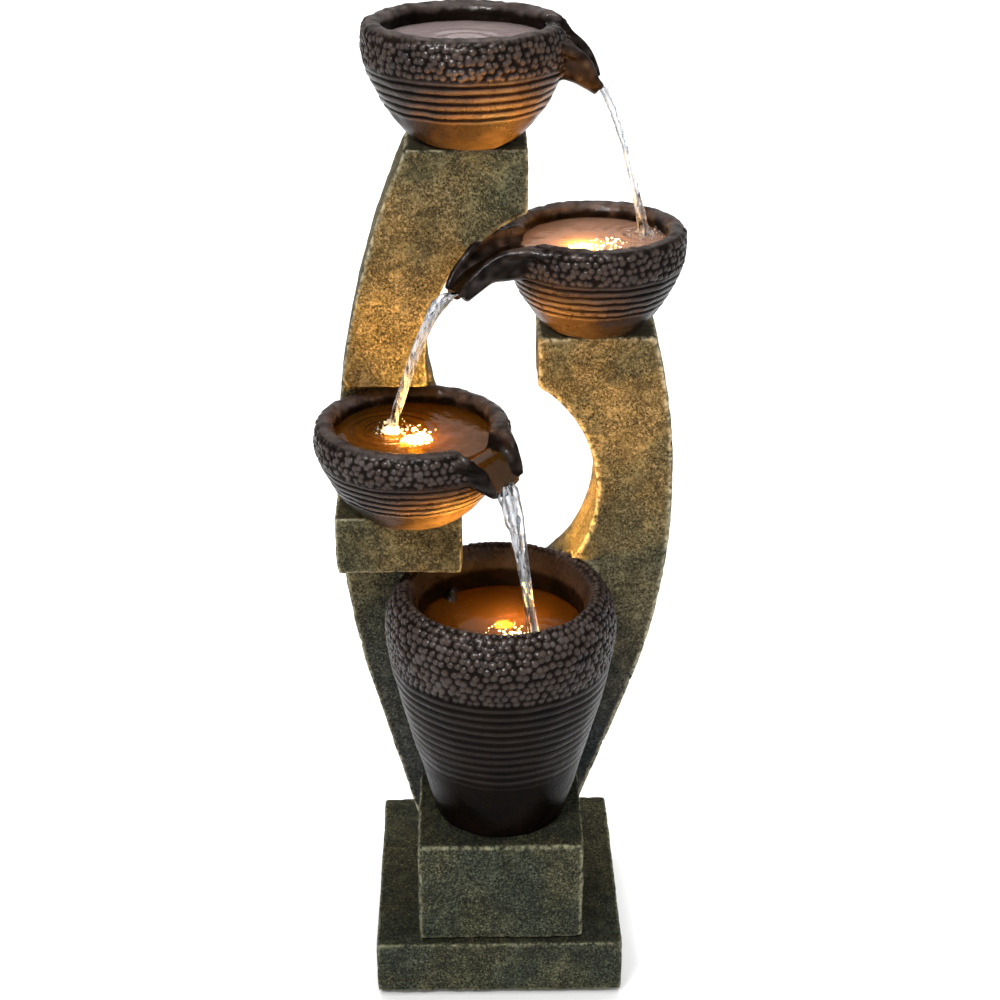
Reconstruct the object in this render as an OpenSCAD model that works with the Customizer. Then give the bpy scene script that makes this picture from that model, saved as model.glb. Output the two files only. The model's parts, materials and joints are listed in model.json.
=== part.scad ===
// Tiered garden fountain. Two curved stone pillars carry three bowls above a tall pot. A pump in
// the pot lifts the water through the left pillar to the top bowl, and it falls back bowl by bowl.
// Origin: centre of the footprint, on the ground. +X right, -Y front, +Z up. Millimetres.

/* [Base] */
// Width of the base slab
base_w = 260; // [255:1:275]
// Depth of the base slab
base_d = 271; // [266:1:285]
// Height of the base slab's top above the ground
base_top = 67.6; // [64:0.2:70]
// Width of the pedestal block under the pot
pedestal_w = 173; // [165:1:180]
// Height of the pedestal's top above the ground
pedestal_top = 187; // [185:0.5:188]

/* [Pillars] */
// Y of the front face of both pillars
pillar_front = 10; // [9:0.5:11]
// Y of the back face of both pillars
pillar_back = 92; // [91.5:0.5:95]
// Height of the left pillar's head, under the top bowl
left_top = 880; // [876:1:884]
// Height of the right pillar's head, under the middle bowl
right_top = 692; // [689:1:695]
// Height of the ledge under the lower bowl
ledge_top = 525; // [524:0.5:526]

/* [Bowls] */
// Largest radius of the top bowl
top_r = 98; // [96:0.5:100]
// Height of the top bowl from its foot to its crest
top_h = 113; // [110:1:116]
// Largest radius of the middle bowl
middle_r = 89; // [87:0.5:91]
// Height of the middle bowl
middle_h = 104; // [101:1:107]
// Largest radius of the lower bowl
lower_r = 96.5; // [95:0.5:97]
// Height of the lower bowl
lower_h = 100; // [98:1:102]
// Wall thickness of the bowls and the pot
wall = 9; // [8:0.5:10]

/* [Water fittings] */
// Outer radius of the riser hose
hose_r = 6.5; // [6:0.1:6.5]
// Radius of the hose's bore
hose_bore_r = 4.5; // [4:0.1:5]
// Radius of the electrical leads
lead_r = 2; // [1.8:0.1:2]

/* [Hidden] */

eps = 0.01;
big_fn = 360;
round_fn = 96;
small_fn = 48;

stone = "#6f7048";
base_stone = "#4d5540";
glaze = "#3a2723";
dark_plastic = "#1c1c1e";
amber = "#ffb545";
rubber_black = "#151515";

// Base
pad_h = 3;
plate_t = 5;
base_wall = 24;
base_roof = 15.6;
pedestal_x = 1.5;
pedestal_front = -127.4;
pedestal_wall = 14;

// Left pillar outline: one big outer arc that runs into a straight line, and a hooked inner side
left_arc = [708, 525];
left_arc_r = 871;
left_arc_low = 300;
left_hook_x = 30.5;
left_hook_arc = [89.9, 668.3];
left_hook_r = 159;
// Right pillar outline
right_arc = [-520, 520];
right_arc_r = 700;
right_arc_low = 287;
right_hook_x = 40;
// Round opening between the pillars
gap_c = [-36, 525];
gap_r = 137;
gap_left = -38.5;
gap_floor = 412;
hook_join = 575;
joint_x = -5;
// Service channels, rear covers
cover_t = 4;
channel_y = 70;
cover_inset = 10;
channel_inset = 20;
screw_inset = 15;
screw_r = 2;
screw_head_r = 4;
screw_l = 15;

// Lower bracket
bracket_front = -48;
bracket_right = -35;
bracket_low = 462;
lintel = 640;

// Bowl and pot centres in plan
top_c = [-28.6, 52];
middle_c = [96.5, 45];
lower_c = [-83, -30];
pot_c = [3, -42];
floor_h = 12;
niche_gap = 1;

// Spouts: direction, distance of the tip from the bowl's centre, half widths to the left of that
// direction and to its right (at the bowl, at the tip), then depths below the bowl's crest: of
// the lips and of the trough's underside (beside the bowl, near the tip, at the tip), and of the
// channel's floor (in the bowl, beside it, near the tip, at the tip)
top_spout = [0, 127, [30, 19], [34, 20], [23, 44, 56], [57, 62, 70], [22, 33, 52, 63]];
middle_spout = [207.8, 154, [27, 14], [35, 19], [7, 27, 44], [43, 41, 54], [20, 24, 37, 50]];
lower_spout = [-35, 113.5, [31, 24], [37, 26], [7, 24, 38], [46, 48, 52], [18, 24, 35, 46]];
spout_wall = 7;

// Riser fittings
elbow_x = -48;
elbow_z = 402;
elbow_bend = 14;
elbow_joint_y = 58;
elbow_in_y = 12;
elbow_out_y = 81;
riser_start = 862;
nozzle_top = 966;
grommet_r = 9;

// Cable outlet of the pot
outlet_x = -72;
outlet_z = 372;
outlet_r = 6;
outlet_pitch = 2.6;

// Pump, in the pot
pump_x = -8;
pump_z = 232;
pump_w = 52;
pump_h = 50;
pump_cut = 10;
pump_back = -14;
pump_split = -50;
volute_front = -62;
strainer_front = -80;

// Lights: [x, y, height of the surface it stands on, height of the lens's top]
light_middle = [84, 32, right_top + floor_h, 772];
light_lower = [-86, -40, ledge_top + floor_h, 604];
light_pot = [7, -26, pump_z + pump_h / 2 + 1, 392];
cup_r = 11;
cup_h = 14;
lens_r = 10.2;
lens_h = 5;
stem_r = 4;
stem_bore_r = 2.2;

// Hand-set routes of hoses and leads
lower_hose_route = [
    [-8, -56, 268], [-8, -56, 286], [-13, -50, 308], [-26, -32, 334], [-40, -8, 358],
    [-46, 5, 367], [-48, 12, 379], [-48, 12, 388]
];
upper_hose_route = [
    [-62, 81, 402], [-71, 81, 402], [-94, 81, 419], [-113, 81, 460], [-126, 81, 515],
    [-129, 81, 560], [-128, 81, 615], [-121, 81, 660], [-109, 81, 710], [-97, 81, 750],
    [-78, 80, 787], [-54, 75, 813], [-36, 62, 832], [-29.2, 53, 849], [-28.6, 52, 856],
    [-28.6, 52, 862]
];
pump_lead_route = [
    [-8, -14, 225], [-8, -5, 225], [-20, 4, 229], [-43, 4, 250], [-60, 0, 285],
    [-71, -2, 322], [-74.6, 3, 350], [-74.6, 12, 368], [-74.6, 24, 372], [-74.6, 46, 372],
    [-74.6, 64, 371], [-74.5, 76, 362], [-73, 79, 345], [-66, 79, 280], [-56, 79, 180],
    [-43, 79, 110], [-37, 79, 67], [-37, 79, 36]
];
lead_pot_route = [
    [-1, -26, 374], [-3, -25, 358], [-14, -12, 338], [-36, 0, 326], [-56, 2, 332],
    [-67, 4, 346], [-69.4, 13, 366], [-69.4, 24, 372], [-69.4, 46, 372], [-69.4, 64, 371],
    [-69, 76, 362], [-67, 79, 345], [-60, 79, 280], [-50, 79, 180], [-37, 79, 110],
    [-31, 79, 67], [-31, 79, 36]
];
lead_lower_route = [
    [-86, -40, 589], [-86, -40, 560], [-86, -40, 530], [-86, -39, 512], [-86, -30, 502],
    [-86, -16, 500], [-86, 20, 500], [-86, 60, 500], [-86, 70, 497], [-86, 72.2, 486],
    [-86, 72.2, 440], [-86, 72.2, 380], [-81, 74, 310], [-66, 78, 200], [-49, 79, 110],
    [-43, 79, 67], [-43, 79, 36]
];
lead_middle_route = [
    [84, 32, 757], [84, 32, 720], [84, 32, 690], [84, 33, 664], [84, 42, 653],
    [84, 56, 650], [84, 68, 650], [88, 77, 646], [100, 79, 632], [126, 79, 590],
    [140, 79, 525], [133, 79, 440], [110, 79, 330], [86, 79, 240], [60, 79, 160],
    [36, 79, 95], [30, 79, 67], [30, 79, 36]
];

// Smooth curve through a list of points
function curve_at(a, b, c, d, t) =
    0.5 * (2 * b + (c - a) * t + (2 * a - 5 * b + 4 * c - d) * t * t
    + (3 * b - a - 3 * c + d) * t * t * t);
function smooth(p, n) = concat(
    [for (i = [0:len(p) - 2]) for (k = [0:n - 1])
        curve_at(p[max(i - 1, 0)], p[i], p[i + 1], p[min(i + 2, len(p) - 1)], k / n)],
    [p[len(p) - 1]]);
function arc(c, r, a0, a1, n) =
    [for (k = [0:n]) c + r * [cos(a0 + (a1 - a0) * k / n), sin(a0 + (a1 - a0) * k / n)]];
function unit(v) = v / norm(v);

// Direction of a route at each of its points
function route_dir(p) = [for (i = [0:len(p) - 1])
    unit(p[min(i + 1, len(p) - 1)] - p[max(i - 1, 0)])];
// A side direction that never turns over along the route
function next_side(side, dir) = unit(side - (side * dir) * dir);
function first_side(dir) = next_side(abs(dir[0]) < 0.9 ? [1, 0, 0] : [0, 1, 0], dir);
function sides_from(dirs, i, side) = i >= len(dirs) ? [] :
    let (s = next_side(side, dirs[i])) concat([s], sides_from(dirs, i + 1, s));
function ring(p, dir, side, r, n) =
    let (up = cross(dir, side))
    [for (k = [0:n - 1]) p + r * (cos(360 * k / n) * side + sin(360 * k / n) * up)];

// Solid round tube along a route
module sweep(route, r, steps, n) {
    p = smooth(route, steps);
    d = route_dir(p);
    s = sides_from(d, 0, first_side(d[0]));
    m = len(p);
    points = [for (i = [0:m - 1]) each ring(p[i], d[i], s[i], r, n)];
    caps = [[for (k = [0:n - 1]) k], [for (k = [0:n - 1]) m * n - 1 - k]];
    walls = [for (i = [0:m - 2]) for (k = [0:n - 1])
        let (a = i * n + k, b = i * n + (k + 1) % n) each [[a, b + n, b], [a, a + n, b + n]]];
    polyhedron(points, concat(caps, walls), convexity = 8);
}

// Hollow hose along a route
module hose(route, steps, n) {
    p = smooth(route, steps);
    d = route_dir(p);
    s = sides_from(d, 0, first_side(d[0]));
    m = len(p);
    points = concat(
        [for (i = [0:m - 1]) each ring(p[i], d[i], s[i], hose_r, n)],
        [for (i = [0:m - 1]) each ring(p[i], d[i], s[i], hose_bore_r, n)]);
    inner = m * n;
    outside = [for (i = [0:m - 2]) for (k = [0:n - 1])
        let (a = i * n + k, b = i * n + (k + 1) % n) each [[a, b + n, b], [a, a + n, b + n]]];
    inside = [for (f = outside) [f[2] + inner, f[1] + inner, f[0] + inner]];
    low = [for (k = [0:n - 1]) let (a = k, b = (k + 1) % n)
        each [[a, b + inner, a + inner], [a, b, b + inner]]];
    high = [for (f = low) [f[2] + (m - 1) * n, f[1] + (m - 1) * n, f[0] + (m - 1) * n]];
    polyhedron(points, concat(outside, inside, low, high), convexity = 8);
}

// Extrudes an X-Z outline from y0 to y1
module slab(y0, y1) {
    translate([0, y1, 0]) rotate([90, 0, 0]) linear_extrude(y1 - y0) children();
}
module rod_y(x, z, r, y0, y1, fn = small_fn) {
    translate([x, y1, z]) rotate([90, 0, 0]) cylinder(h = y1 - y0, r = r, $fn = fn);
}
module box(x0, x1, y0, y1, z0, z1) {
    translate([x0, y0, z0]) cube([x1 - x0, y1 - y0, z1 - z0]);
}
module span(x0, x1, z0, z1) {
    translate([x0, z0]) square([x1 - x0, z1 - z0]);
}

// ---- Base ----
module base_slab() {
    inner_x = base_w / 2 - base_wall;
    inner_y = base_d / 2 - base_wall;
    color(base_stone) difference() {
        box(-base_w / 2, base_w / 2, -base_d / 2, base_d / 2, pad_h, base_top);
        box(-inner_x, inner_x, -inner_y, inner_y, pad_h - 1, base_top - base_roof);
        box(-inner_x - 12, inner_x + 12, -inner_y - 12, inner_y + 12, pad_h - 1, pad_h + plate_t);
        box(-50, -26, channel_y, pillar_back - cover_t, base_top - base_roof - 1, base_top + 1);
        box(18, 42, channel_y, pillar_back - cover_t, base_top - base_roof - 1, base_top + 1);
        rod_y(0, 30, 10, inner_y - 1, base_d / 2 + 1);
        rod_y(0, 30, 17, base_d / 2 - 5, base_d / 2 + 1);
        for (s = plate_screw_places()) translate([s[0], s[1], pad_h])
            cylinder(h = 20, r = screw_r, $fn = small_fn);
    }
}
function plate_screw_places() =
    [for (x = [-1, 1]) for (y = [-1, 1])
        [x * (base_w / 2 - base_wall + 6), y * (base_d / 2 - base_wall - 20)]];

module base_plate() {
    px = base_w / 2 - base_wall + 12;
    py = base_d / 2 - base_wall + 12;
    color(dark_plastic) difference() {
        box(-px, px, -py, py, pad_h, pad_h + plate_t);
        for (s = plate_screw_places()) translate([s[0], s[1], pad_h - 1]) {
            cylinder(h = plate_t + 2, r = screw_r + 0.2, $fn = small_fn);
            cylinder(h = 3, r = screw_head_r, $fn = small_fn);
        }
    }
}
module plate_screws() {
    color("silver") for (s = plate_screw_places()) translate([s[0], s[1], pad_h]) {
        cylinder(h = 2, r = screw_head_r, $fn = small_fn);
        cylinder(h = 18, r = screw_r, $fn = small_fn);
    }
}
module foot_pads() {
    color(rubber_black) for (p = [[0, 0], [-90, -95], [90, -95], [-90, 95], [90, 95]])
        translate([p[0], p[1], 0]) cylinder(h = pad_h, r1 = 15, r2 = 16, $fn = round_fn);
}
module pedestal_block() {
    x0 = pedestal_x - pedestal_w / 2;
    x1 = pedestal_x + pedestal_w / 2;
    t = pedestal_wall;
    color(stone) difference() {
        box(x0, x1, pedestal_front, pillar_front, base_top, pedestal_top);
        box(x0 + t, x1 - t, pedestal_front + t, pillar_front - t, base_top - 1, pedestal_top - t);
    }
}
module power_gland() {
    color(dark_plastic) difference() {
        union() {
            rod_y(0, 30, 10, 108, base_d / 2 - 5);
            rod_y(0, 30, 15, base_d / 2 - 5, base_d / 2 - 2, 6);
            translate([0, base_d / 2 - 2, 30]) rotate([-90, 0, 0])
                cylinder(h = 8, r1 = 10, r2 = 6, $fn = round_fn);
        }
        rod_y(0, 30, 1.9, base_d / 2 - 8, base_d / 2 + 10);
    }
}
module junction_box() {
    color(dark_plastic) difference() {
        box(-52, 46, 64, 108, pad_h + plate_t, 36);
        for (x = [-48, 42]) for (y = [68, 104])
            translate([x, y, 34]) cylinder(h = 3, r = 1.5, $fn = small_fn);
    }
}

// ---- Pillars ----
// Where an outer arc ends and the straight line begins, for a given inset
function left_turn(inset) =
    let (s = (left_arc[1] - left_arc_low) / left_arc_r, c = sqrt(1 - s * s))
    [left_arc[0] - (left_arc_r - inset) * c, left_arc[1] - (left_arc_r - inset) * s];
function left_lean() =
    let (s = (left_arc[1] - left_arc_low) / left_arc_r) s / sqrt(1 - s * s);
function left_low_x(z, inset) = left_turn(inset)[0] + left_lean() * (left_turn(inset)[1] - z);
function left_side_x(z, inset) = z < left_turn(inset)[1] ? left_low_x(z, inset) :
    left_arc[0] - sqrt(pow(left_arc_r - inset, 2) - pow(z - left_arc[1], 2));
function right_turn(inset) =
    let (s = (right_arc[1] - right_arc_low) / right_arc_r, c = sqrt(1 - s * s))
    [right_arc[0] + (right_arc_r - inset) * c, right_arc[1] - (right_arc_r - inset) * s];
function right_lean() =
    let (s = (right_arc[1] - right_arc_low) / right_arc_r) s / sqrt(1 - s * s);
function right_low_x(z, inset) = right_turn(inset)[0] - right_lean() * (right_turn(inset)[1] - z);
function right_side_x(z, inset) = z < right_turn(inset)[1] ? right_low_x(z, inset) :
    right_arc[0] + sqrt(pow(right_arc_r - inset, 2) - pow(z - right_arc[1], 2));

module gap_outline(inset) {
    intersection() {
        translate(gap_c) circle(r = gap_r + inset, $fn = big_fn);
        span(gap_left - inset, 200, gap_floor - inset, 700);
    }
}
// Left pillar seen from the front; inset shrinks it all round
module left_outline(inset, low) {
    t = left_turn(inset);
    difference() {
        intersection() {
            union() {
                intersection() {
                    translate(left_arc) circle(r = left_arc_r - inset, $fn = big_fn);
                    span(-200, left_hook_x - inset, t[1], left_top - inset);
                }
                polygon([t, [left_low_x(low, inset), low], [left_hook_x - inset, low],
                    [left_hook_x - inset, t[1]]]);
            }
            union() {
                span(-200, left_hook_x, hook_join, left_top);
                span(-200, joint_x - inset, low, hook_join);
            }
        }
        translate(left_hook_arc) circle(r = left_hook_r + inset, $fn = big_fn);
        gap_outline(inset);
        span(gap_left - inset, 200, gap_c[1], hook_join + eps);
    }
}
module right_outline(inset, low) {
    t = right_turn(inset);
    difference() {
        union() {
            intersection() {
                translate(right_arc) circle(r = right_arc_r - inset, $fn = big_fn);
                span(joint_x + inset, 200, t[1], right_top - inset);
            }
            polygon([[joint_x + inset, low], [right_low_x(low, inset), low], t,
                [joint_x + inset, t[1]]]);
        }
        gap_outline(inset);
        span(-200, right_hook_x + inset, gap_c[1], right_top + 1);
    }
}

// Screw places on the ledge of each service channel
function left_screws() = concat(
    [for (z = [110, 260, 420, 600, 740]) [left_side_x(z, screw_inset), z]],
    [[-20, 90], [-20, 240], [-20, 380], [-55, 480], [-84, 690], [-38, 795 + 15]]);
function right_screws() = concat(
    [for (z = [120, 280, 440, 600]) [right_side_x(z, screw_inset), z]],
    [[10, 90], [10, 240], [10, 380], [114, 500], [55, 677], [140, 677]]);

module screw_holes(places) {
    for (s = places) rod_y(s[0], s[1], screw_r, pillar_back - screw_l - 1, pillar_back);
}
module left_channel() {
    slab(channel_y, pillar_back) intersection() {
        left_outline(channel_inset, base_top - 1);
        union() {
            span(-200, -25, base_top - 1, 240);
            span(-200, -40, 239, 515);
            span(-200, -115, 514, 655);
            span(-200, 40, 654, left_top);
        }
    }
    box(-74, -8, 40, pillar_back, 795, riser_start);
    elbow_recess();
}
// Room for the riser's second elbow beside the round opening
module elbow_recess() {
    low = elbow_z - hose_r - 1;
    top = elbow_z + hose_r + 1;
    box(-74, gap_left - cover_inset, channel_y - 1, pillar_back - cover_t + 0.5, low, top);
    box(gap_left - cover_inset - 1, elbow_x + hose_r + 0.5, channel_y - 1, 84, low, top);
}
module left_pillar() {
    color(stone) difference() {
        slab(pillar_front, pillar_back) left_outline(0, base_top);
        slab(pillar_back - cover_t, pillar_back + 1) left_outline(cover_inset, base_top + 12);
        left_channel();
        screw_holes(left_screws());
        translate([top_c[0], top_c[1], 850]) cylinder(h = 40, r = hose_r, $fn = small_fn);
        lower_niche();
        pot_pocket();
        rod_y(elbow_x, elbow_z, grommet_r, 40, channel_y + 1);
        rod_y(outlet_x, outlet_z, outlet_r, 20, channel_y + 1);
        rod_y(light_lower[0], 500, 3, -20, channel_y + 1);
        box(light_lower[0] - 3, light_lower[0] + 3, 61, channel_y + 1, 488, 503);
    }
}
module right_pillar() {
    color(stone) difference() {
        slab(pillar_front, pillar_back) right_outline(0, base_top);
        slab(pillar_back - cover_t, pillar_back + 1) right_outline(cover_inset, base_top + 12);
        slab(channel_y, pillar_back) intersection() {
            right_outline(channel_inset, base_top - 1);
            union() {
                span(15, 200, base_top - 1, 240);
                span(46, 200, 239, right_top);
            }
        }
        screw_holes(right_screws());
        pot_pocket();
        translate([light_middle[0], light_middle[1], 647])
            cylinder(h = 60, r = 3, $fn = small_fn);
        rod_y(light_middle[0], 650, 3, light_middle[1], channel_y + 1);
        box(light_middle[0] - 3, light_middle[0] + 3, light_middle[1], 50, 647, 668);
        box(light_middle[0] - 3, light_middle[0] + 7, 60, channel_y + 1, 643, 653);
    }
}
module rear_cover(places) {
    color(stone) difference() {
        slab(pillar_back - cover_t, pillar_back) children();
        for (s = places) {
            rod_y(s[0], s[1], screw_r + 0.2, pillar_back - cover_t - 1, pillar_back + 1);
            rod_y(s[0], s[1], screw_head_r, pillar_back - 2, pillar_back + 1);
        }
    }
}
module left_rear_cover() {
    rear_cover(left_screws()) left_outline(cover_inset + 0.3, base_top + 12.3);
}
module right_rear_cover() {
    rear_cover(right_screws()) right_outline(cover_inset + 0.3, base_top + 12.3);
}
module cover_screws() {
    color("silver") for (s = concat(left_screws(), right_screws())) {
        rod_y(s[0], s[1], screw_head_r, pillar_back - 2, pillar_back);
        rod_y(s[0], s[1], screw_r, pillar_back - screw_l, pillar_back - 2 + eps);
    }
}
// Block in front of the left pillar that the lower bowl stands on
module lower_bracket() {
    color(stone) difference() {
        slab(bracket_front, pillar_front) intersection() {
            translate(left_arc) circle(r = left_arc_r, $fn = big_fn);
            span(-200, bracket_right, bracket_low, ledge_top);
        }
        pot_pocket();
        translate([light_lower[0], light_lower[1], 497]) cylinder(h = 60, r = 3, $fn = small_fn);
        rod_y(light_lower[0], 500, 3, light_lower[1], pillar_front + 1);
        box(light_lower[0] - 3, light_lower[0] + 3, light_lower[1], -22, 497, 518);
    }
}

// ---- Bowls and pot ----
// Side of a bowl, from its foot up to the rolled rim; k and m scale it across and up
function bowl_side(k, m) = smooth([for (p = [[46, 0], [58, 10], [71, 25], [83, 45], [93, 67],
    [97.5, 85], [97, 101]]) [p[0] * k, p[1] * m]], 4);
function bowl_rim(k, m) = arc([87 * k, 113 * m - 10], 10, 0, 180, 14);
function bowl_inside(k, m) = smooth([for (p = [[79, 94], [83, 80], [80, 62], [70, 42], [56, 24]])
    [p[0] * k - wall + 9, p[1] * m]], 4);

module bowl_body(r, h) {
    k = r / 98;
    m = h / 113;
    rotate_extrude($fn = round_fn) polygon(concat([[0, 0]], bowl_side(k, m), bowl_rim(k, m),
        [[77 * k, 0.9 * h], [0, 0.9 * h]]));
}
module bowl_hollow(r, h) {
    k = r / 98;
    m = h / 113;
    rotate_extrude($fn = round_fn) polygon(concat([[0, h + 20], [87 * k - 10, h + 20]],
        [[87 * k - 10, h - 10]], bowl_inside(k, m), [[40 * k, floor_h], [0, floor_h]]));
}

// Spout: a trough that runs from inside the rim down to the tip. Both lists are edges of its side
// view, as [distance from the bowl's centre, height above its foot].
function spout_top(r, h, spout) = let (e = spout[1] - r, d = spout[4])
    smooth([[r - 27, h - 1.5], [r - 4, h - 2.5], [r + 0.28 * e, h - d[0]],
        [r + 0.78 * e, h - d[1]], [r + e, h - d[2]]], 3);
function spout_low(r, h, spout) = let (e = spout[1] - r, d = spout[5])
    smooth([[r - 37, 0.62 * h], [r - 17, 0.52 * h], [r - 0.05 * e, h - d[0]],
        [r + 0.38 * e, h - d[1]], [r + 0.8 * e, h - d[2]]], 3);
function reversed(p) = [for (i = [len(p) - 1:-1:0]) p[i]];
function spout_floor(r, h, spout) = let (e = spout[1] - r, d = spout[6])
    smooth([[r - 27, h - d[0]], [r - 4, h - d[0]], [r + 0.28 * e, h - d[1]],
        [r + 0.78 * e, h - d[2]], [r + e, h - d[3]]], 3);
// Side view of the channel that is cut out of the trough: its floor t and the space above it
function channel_side(t) =
    let (n = len(t), past = unit(t[n - 1] - t[n - 2]) * 12)
    concat(t, [t[n - 1] + past, [t[n - 1][0] + 20, t[0][1] + 50],
        [t[0][0] - 10, t[0][1] + 50], [t[0][0] - 10, t[0][1]]]);
module spout_plan(r, spout, spare) {
    left = spout[2];
    right = spout[3];
    linear_extrude(200) polygon([[r - 50, spare - right[0]], [spout[1] + 14, spare - right[1]],
        [spout[1] + 14, left[1] - spare], [r - 50, left[0] - spare]]);
}
module spout_body(r, h, spout) {
    intersection() {
        slab(-40, 40) polygon(concat(spout_top(r, h, spout), reversed(spout_low(r, h, spout))));
        spout_plan(r, spout, 0);
    }
}
module spout_channel(r, h, spout) {
    intersection() {
        slab(-40, 40) polygon(channel_side(spout_floor(r, h, spout)));
        spout_plan(r, spout, spout_wall);
    }
}
module bowl(r, h, spout) {
    difference() {
        union() {
            bowl_body(r, h);
            rotate([0, 0, spout[0]]) spout_body(r, h, spout);
        }
        bowl_hollow(r, h);
        rotate([0, 0, spout[0]]) spout_channel(r, h, spout);
    }
}
module bowl_top() {
    color(glaze) translate([top_c[0], top_c[1], left_top]) difference() {
        bowl(top_r, top_h, top_spout);
        translate([0, 0, -1]) cylinder(h = floor_h + 2, r = 10, $fn = small_fn);
    }
}
module bowl_middle() {
    color(glaze) difference() {
        translate([middle_c[0], middle_c[1], right_top]) bowl(middle_r, middle_h, middle_spout);
        translate([light_middle[0], light_middle[1], right_top - 1])
            cylinder(h = floor_h + 2, r = 3, $fn = small_fn);
    }
}
module bowl_lower() {
    color(glaze) difference() {
        translate([lower_c[0], lower_c[1], ledge_top]) bowl(lower_r, lower_h, lower_spout);
        translate([light_lower[0], light_lower[1], ledge_top - 1])
            cylinder(h = floor_h + 2, r = 3, $fn = small_fn);
    }
}
// Space that the lower bowl takes in the left pillar, up to the lintel
module lower_niche() {
    translate([lower_c[0], lower_c[1], ledge_top]) {
        cylinder(h = 70, r1 = 62, r2 = lower_r + niche_gap, $fn = round_fn);
        translate([0, 0, 70 - eps]) cylinder(h = lintel - ledge_top - 70, r = lower_r + niche_gap,
            $fn = round_fn);
        translate([0, 0, -eps]) cylinder(h = 4, r = 64, $fn = round_fn);
    }
}

// Pot outline: side up to the widest place, the broad turned-in rim, then the inside
function pot_side() = smooth([[69, 0], [77, 30], [88, 75], [102, 128], [112, 173], [116.5, 212],
    [114.5, 234], [108, 249]], 4);
function pot_lip() = smooth([[108, 249], [99, 257], [89, 254], [83, 244], [87, 232]], 4);
function pot_inside() = smooth([[87, 232], [103, 212], [103, 175], [93, 128], [79, 75], [68, 30],
    [58, floor_h]], 4);
module pot_solid() {
    rotate_extrude($fn = round_fn)
        polygon(concat([[0, 0]], pot_side(), pot_lip(), pot_inside(), [[0, floor_h]]));
}
module pot() {
    color(glaze) difference() {
        translate([pot_c[0], pot_c[1], pedestal_top]) pot_solid();
        rod_y(elbow_x, elbow_z, grommet_r, 10, 80);
        rod_y(outlet_x, outlet_z, outlet_r, 10, 80);
    }
}
// Space that the pot takes in the pillars and the bracket
module pot_pocket() {
    side = [for (p = pot_side()) [p[0] + niche_gap, p[1]]];
    translate([pot_c[0], pot_c[1], pedestal_top]) rotate_extrude($fn = round_fn)
        polygon(concat([[0, -0.5], [70, -0.5]], side, [[100, 259], [0, 259]]));
}

// ---- Riser ----
module elbow_quarter() {
    rotate_extrude(angle = 90, $fn = round_fn) translate([elbow_bend, 0]) difference() {
        circle(r = hose_r, $fn = small_fn);
        circle(r = hose_bore_r, $fn = small_fn);
    }
}
module tube_y(x, z, y0, y1) {
    difference() {
        rod_y(x, z, hose_r, y0, y1);
        rod_y(x, z, hose_bore_r, y0 - 1, y1 + 1);
    }
}
module riser_elbow_lower() {
    y0 = elbow_in_y + elbow_bend;
    color(dark_plastic) {
        translate([elbow_x, y0, elbow_z - elbow_bend]) rotate([90, 0, -90]) elbow_quarter();
        tube_y(elbow_x, elbow_z, y0, elbow_joint_y);
    }
}
module riser_elbow_upper() {
    y1 = elbow_out_y - elbow_bend;
    color(dark_plastic) {
        tube_y(elbow_x, elbow_z, elbow_joint_y, y1);
        translate([elbow_x - elbow_bend, y1, elbow_z]) elbow_quarter();
    }
}
module riser_hose_lower() {
    color(rubber_black) hose(lower_hose_route, 4, 16);
}
module riser_hose_upper() {
    color(rubber_black) hose(upper_hose_route, 3, 16);
}
module riser_bush() {
    color(rubber_black) translate([top_c[0], top_c[1], left_top]) difference() {
        union() {
            cylinder(h = floor_h, r = 10, $fn = small_fn);
            translate([0, 0, floor_h]) cylinder(h = 3, r = 14, $fn = small_fn);
        }
        translate([0, 0, -1]) cylinder(h = 20, r = hose_r, $fn = small_fn);
    }
}
module riser_nozzle() {
    color(dark_plastic) translate([top_c[0], top_c[1], riser_start]) difference() {
        cylinder(h = nozzle_top - riser_start, r = hose_r, $fn = small_fn);
        translate([0, 0, -1]) cylinder(h = nozzle_top, r = hose_bore_r, $fn = small_fn);
    }
}
module hose_grommet() {
    color(rubber_black) difference() {
        rod_y(elbow_x, elbow_z, grommet_r, 44, channel_y);
        rod_y(elbow_x, elbow_z, hose_r, 40, channel_y + 1);
    }
}
module cable_grommet() {
    color(rubber_black) difference() {
        rod_y(outlet_x, outlet_z, outlet_r, 25, 46);
        for (s = [-1, 1]) rod_y(outlet_x + s * outlet_pitch, outlet_z, lead_r, 20, 50);
    }
}

// ---- Pump ----
module pump_section(w, h, cut) {
    polygon([[-w / 2 + cut, -h / 2], [w / 2 - cut, -h / 2], [w / 2, -h / 2 + cut],
        [w / 2, h / 2 - cut], [w / 2 - cut, h / 2], [-w / 2 + cut, h / 2],
        [-w / 2, h / 2 - cut], [-w / 2, -h / 2 + cut]]);
}
module pump_prism(w, h, cut, y0, y1) {
    slab(y0, y1) translate([pump_x, pump_z]) pump_section(w, h, cut);
}
module pump_housing() {
    color(dark_plastic) difference() {
        union() {
            pump_prism(pump_w - 6, pump_h - 2, pump_cut, pump_split, pump_back);
            for (i = [0:3]) pump_prism(pump_w, pump_h, pump_cut, -46.5 + 8 * i, -43.5 + 8 * i);
            box(pump_x - 8, pump_x + 23, -36, -15, pump_z + pump_h / 2 - 3, pump_z + pump_h / 2 + 1);
        }
        rod_y(pump_x, pump_z, 10, pump_split - 1, -24);
        rod_y(pump_x, pump_z, 1.5, -25, -20);
    }
}
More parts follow.
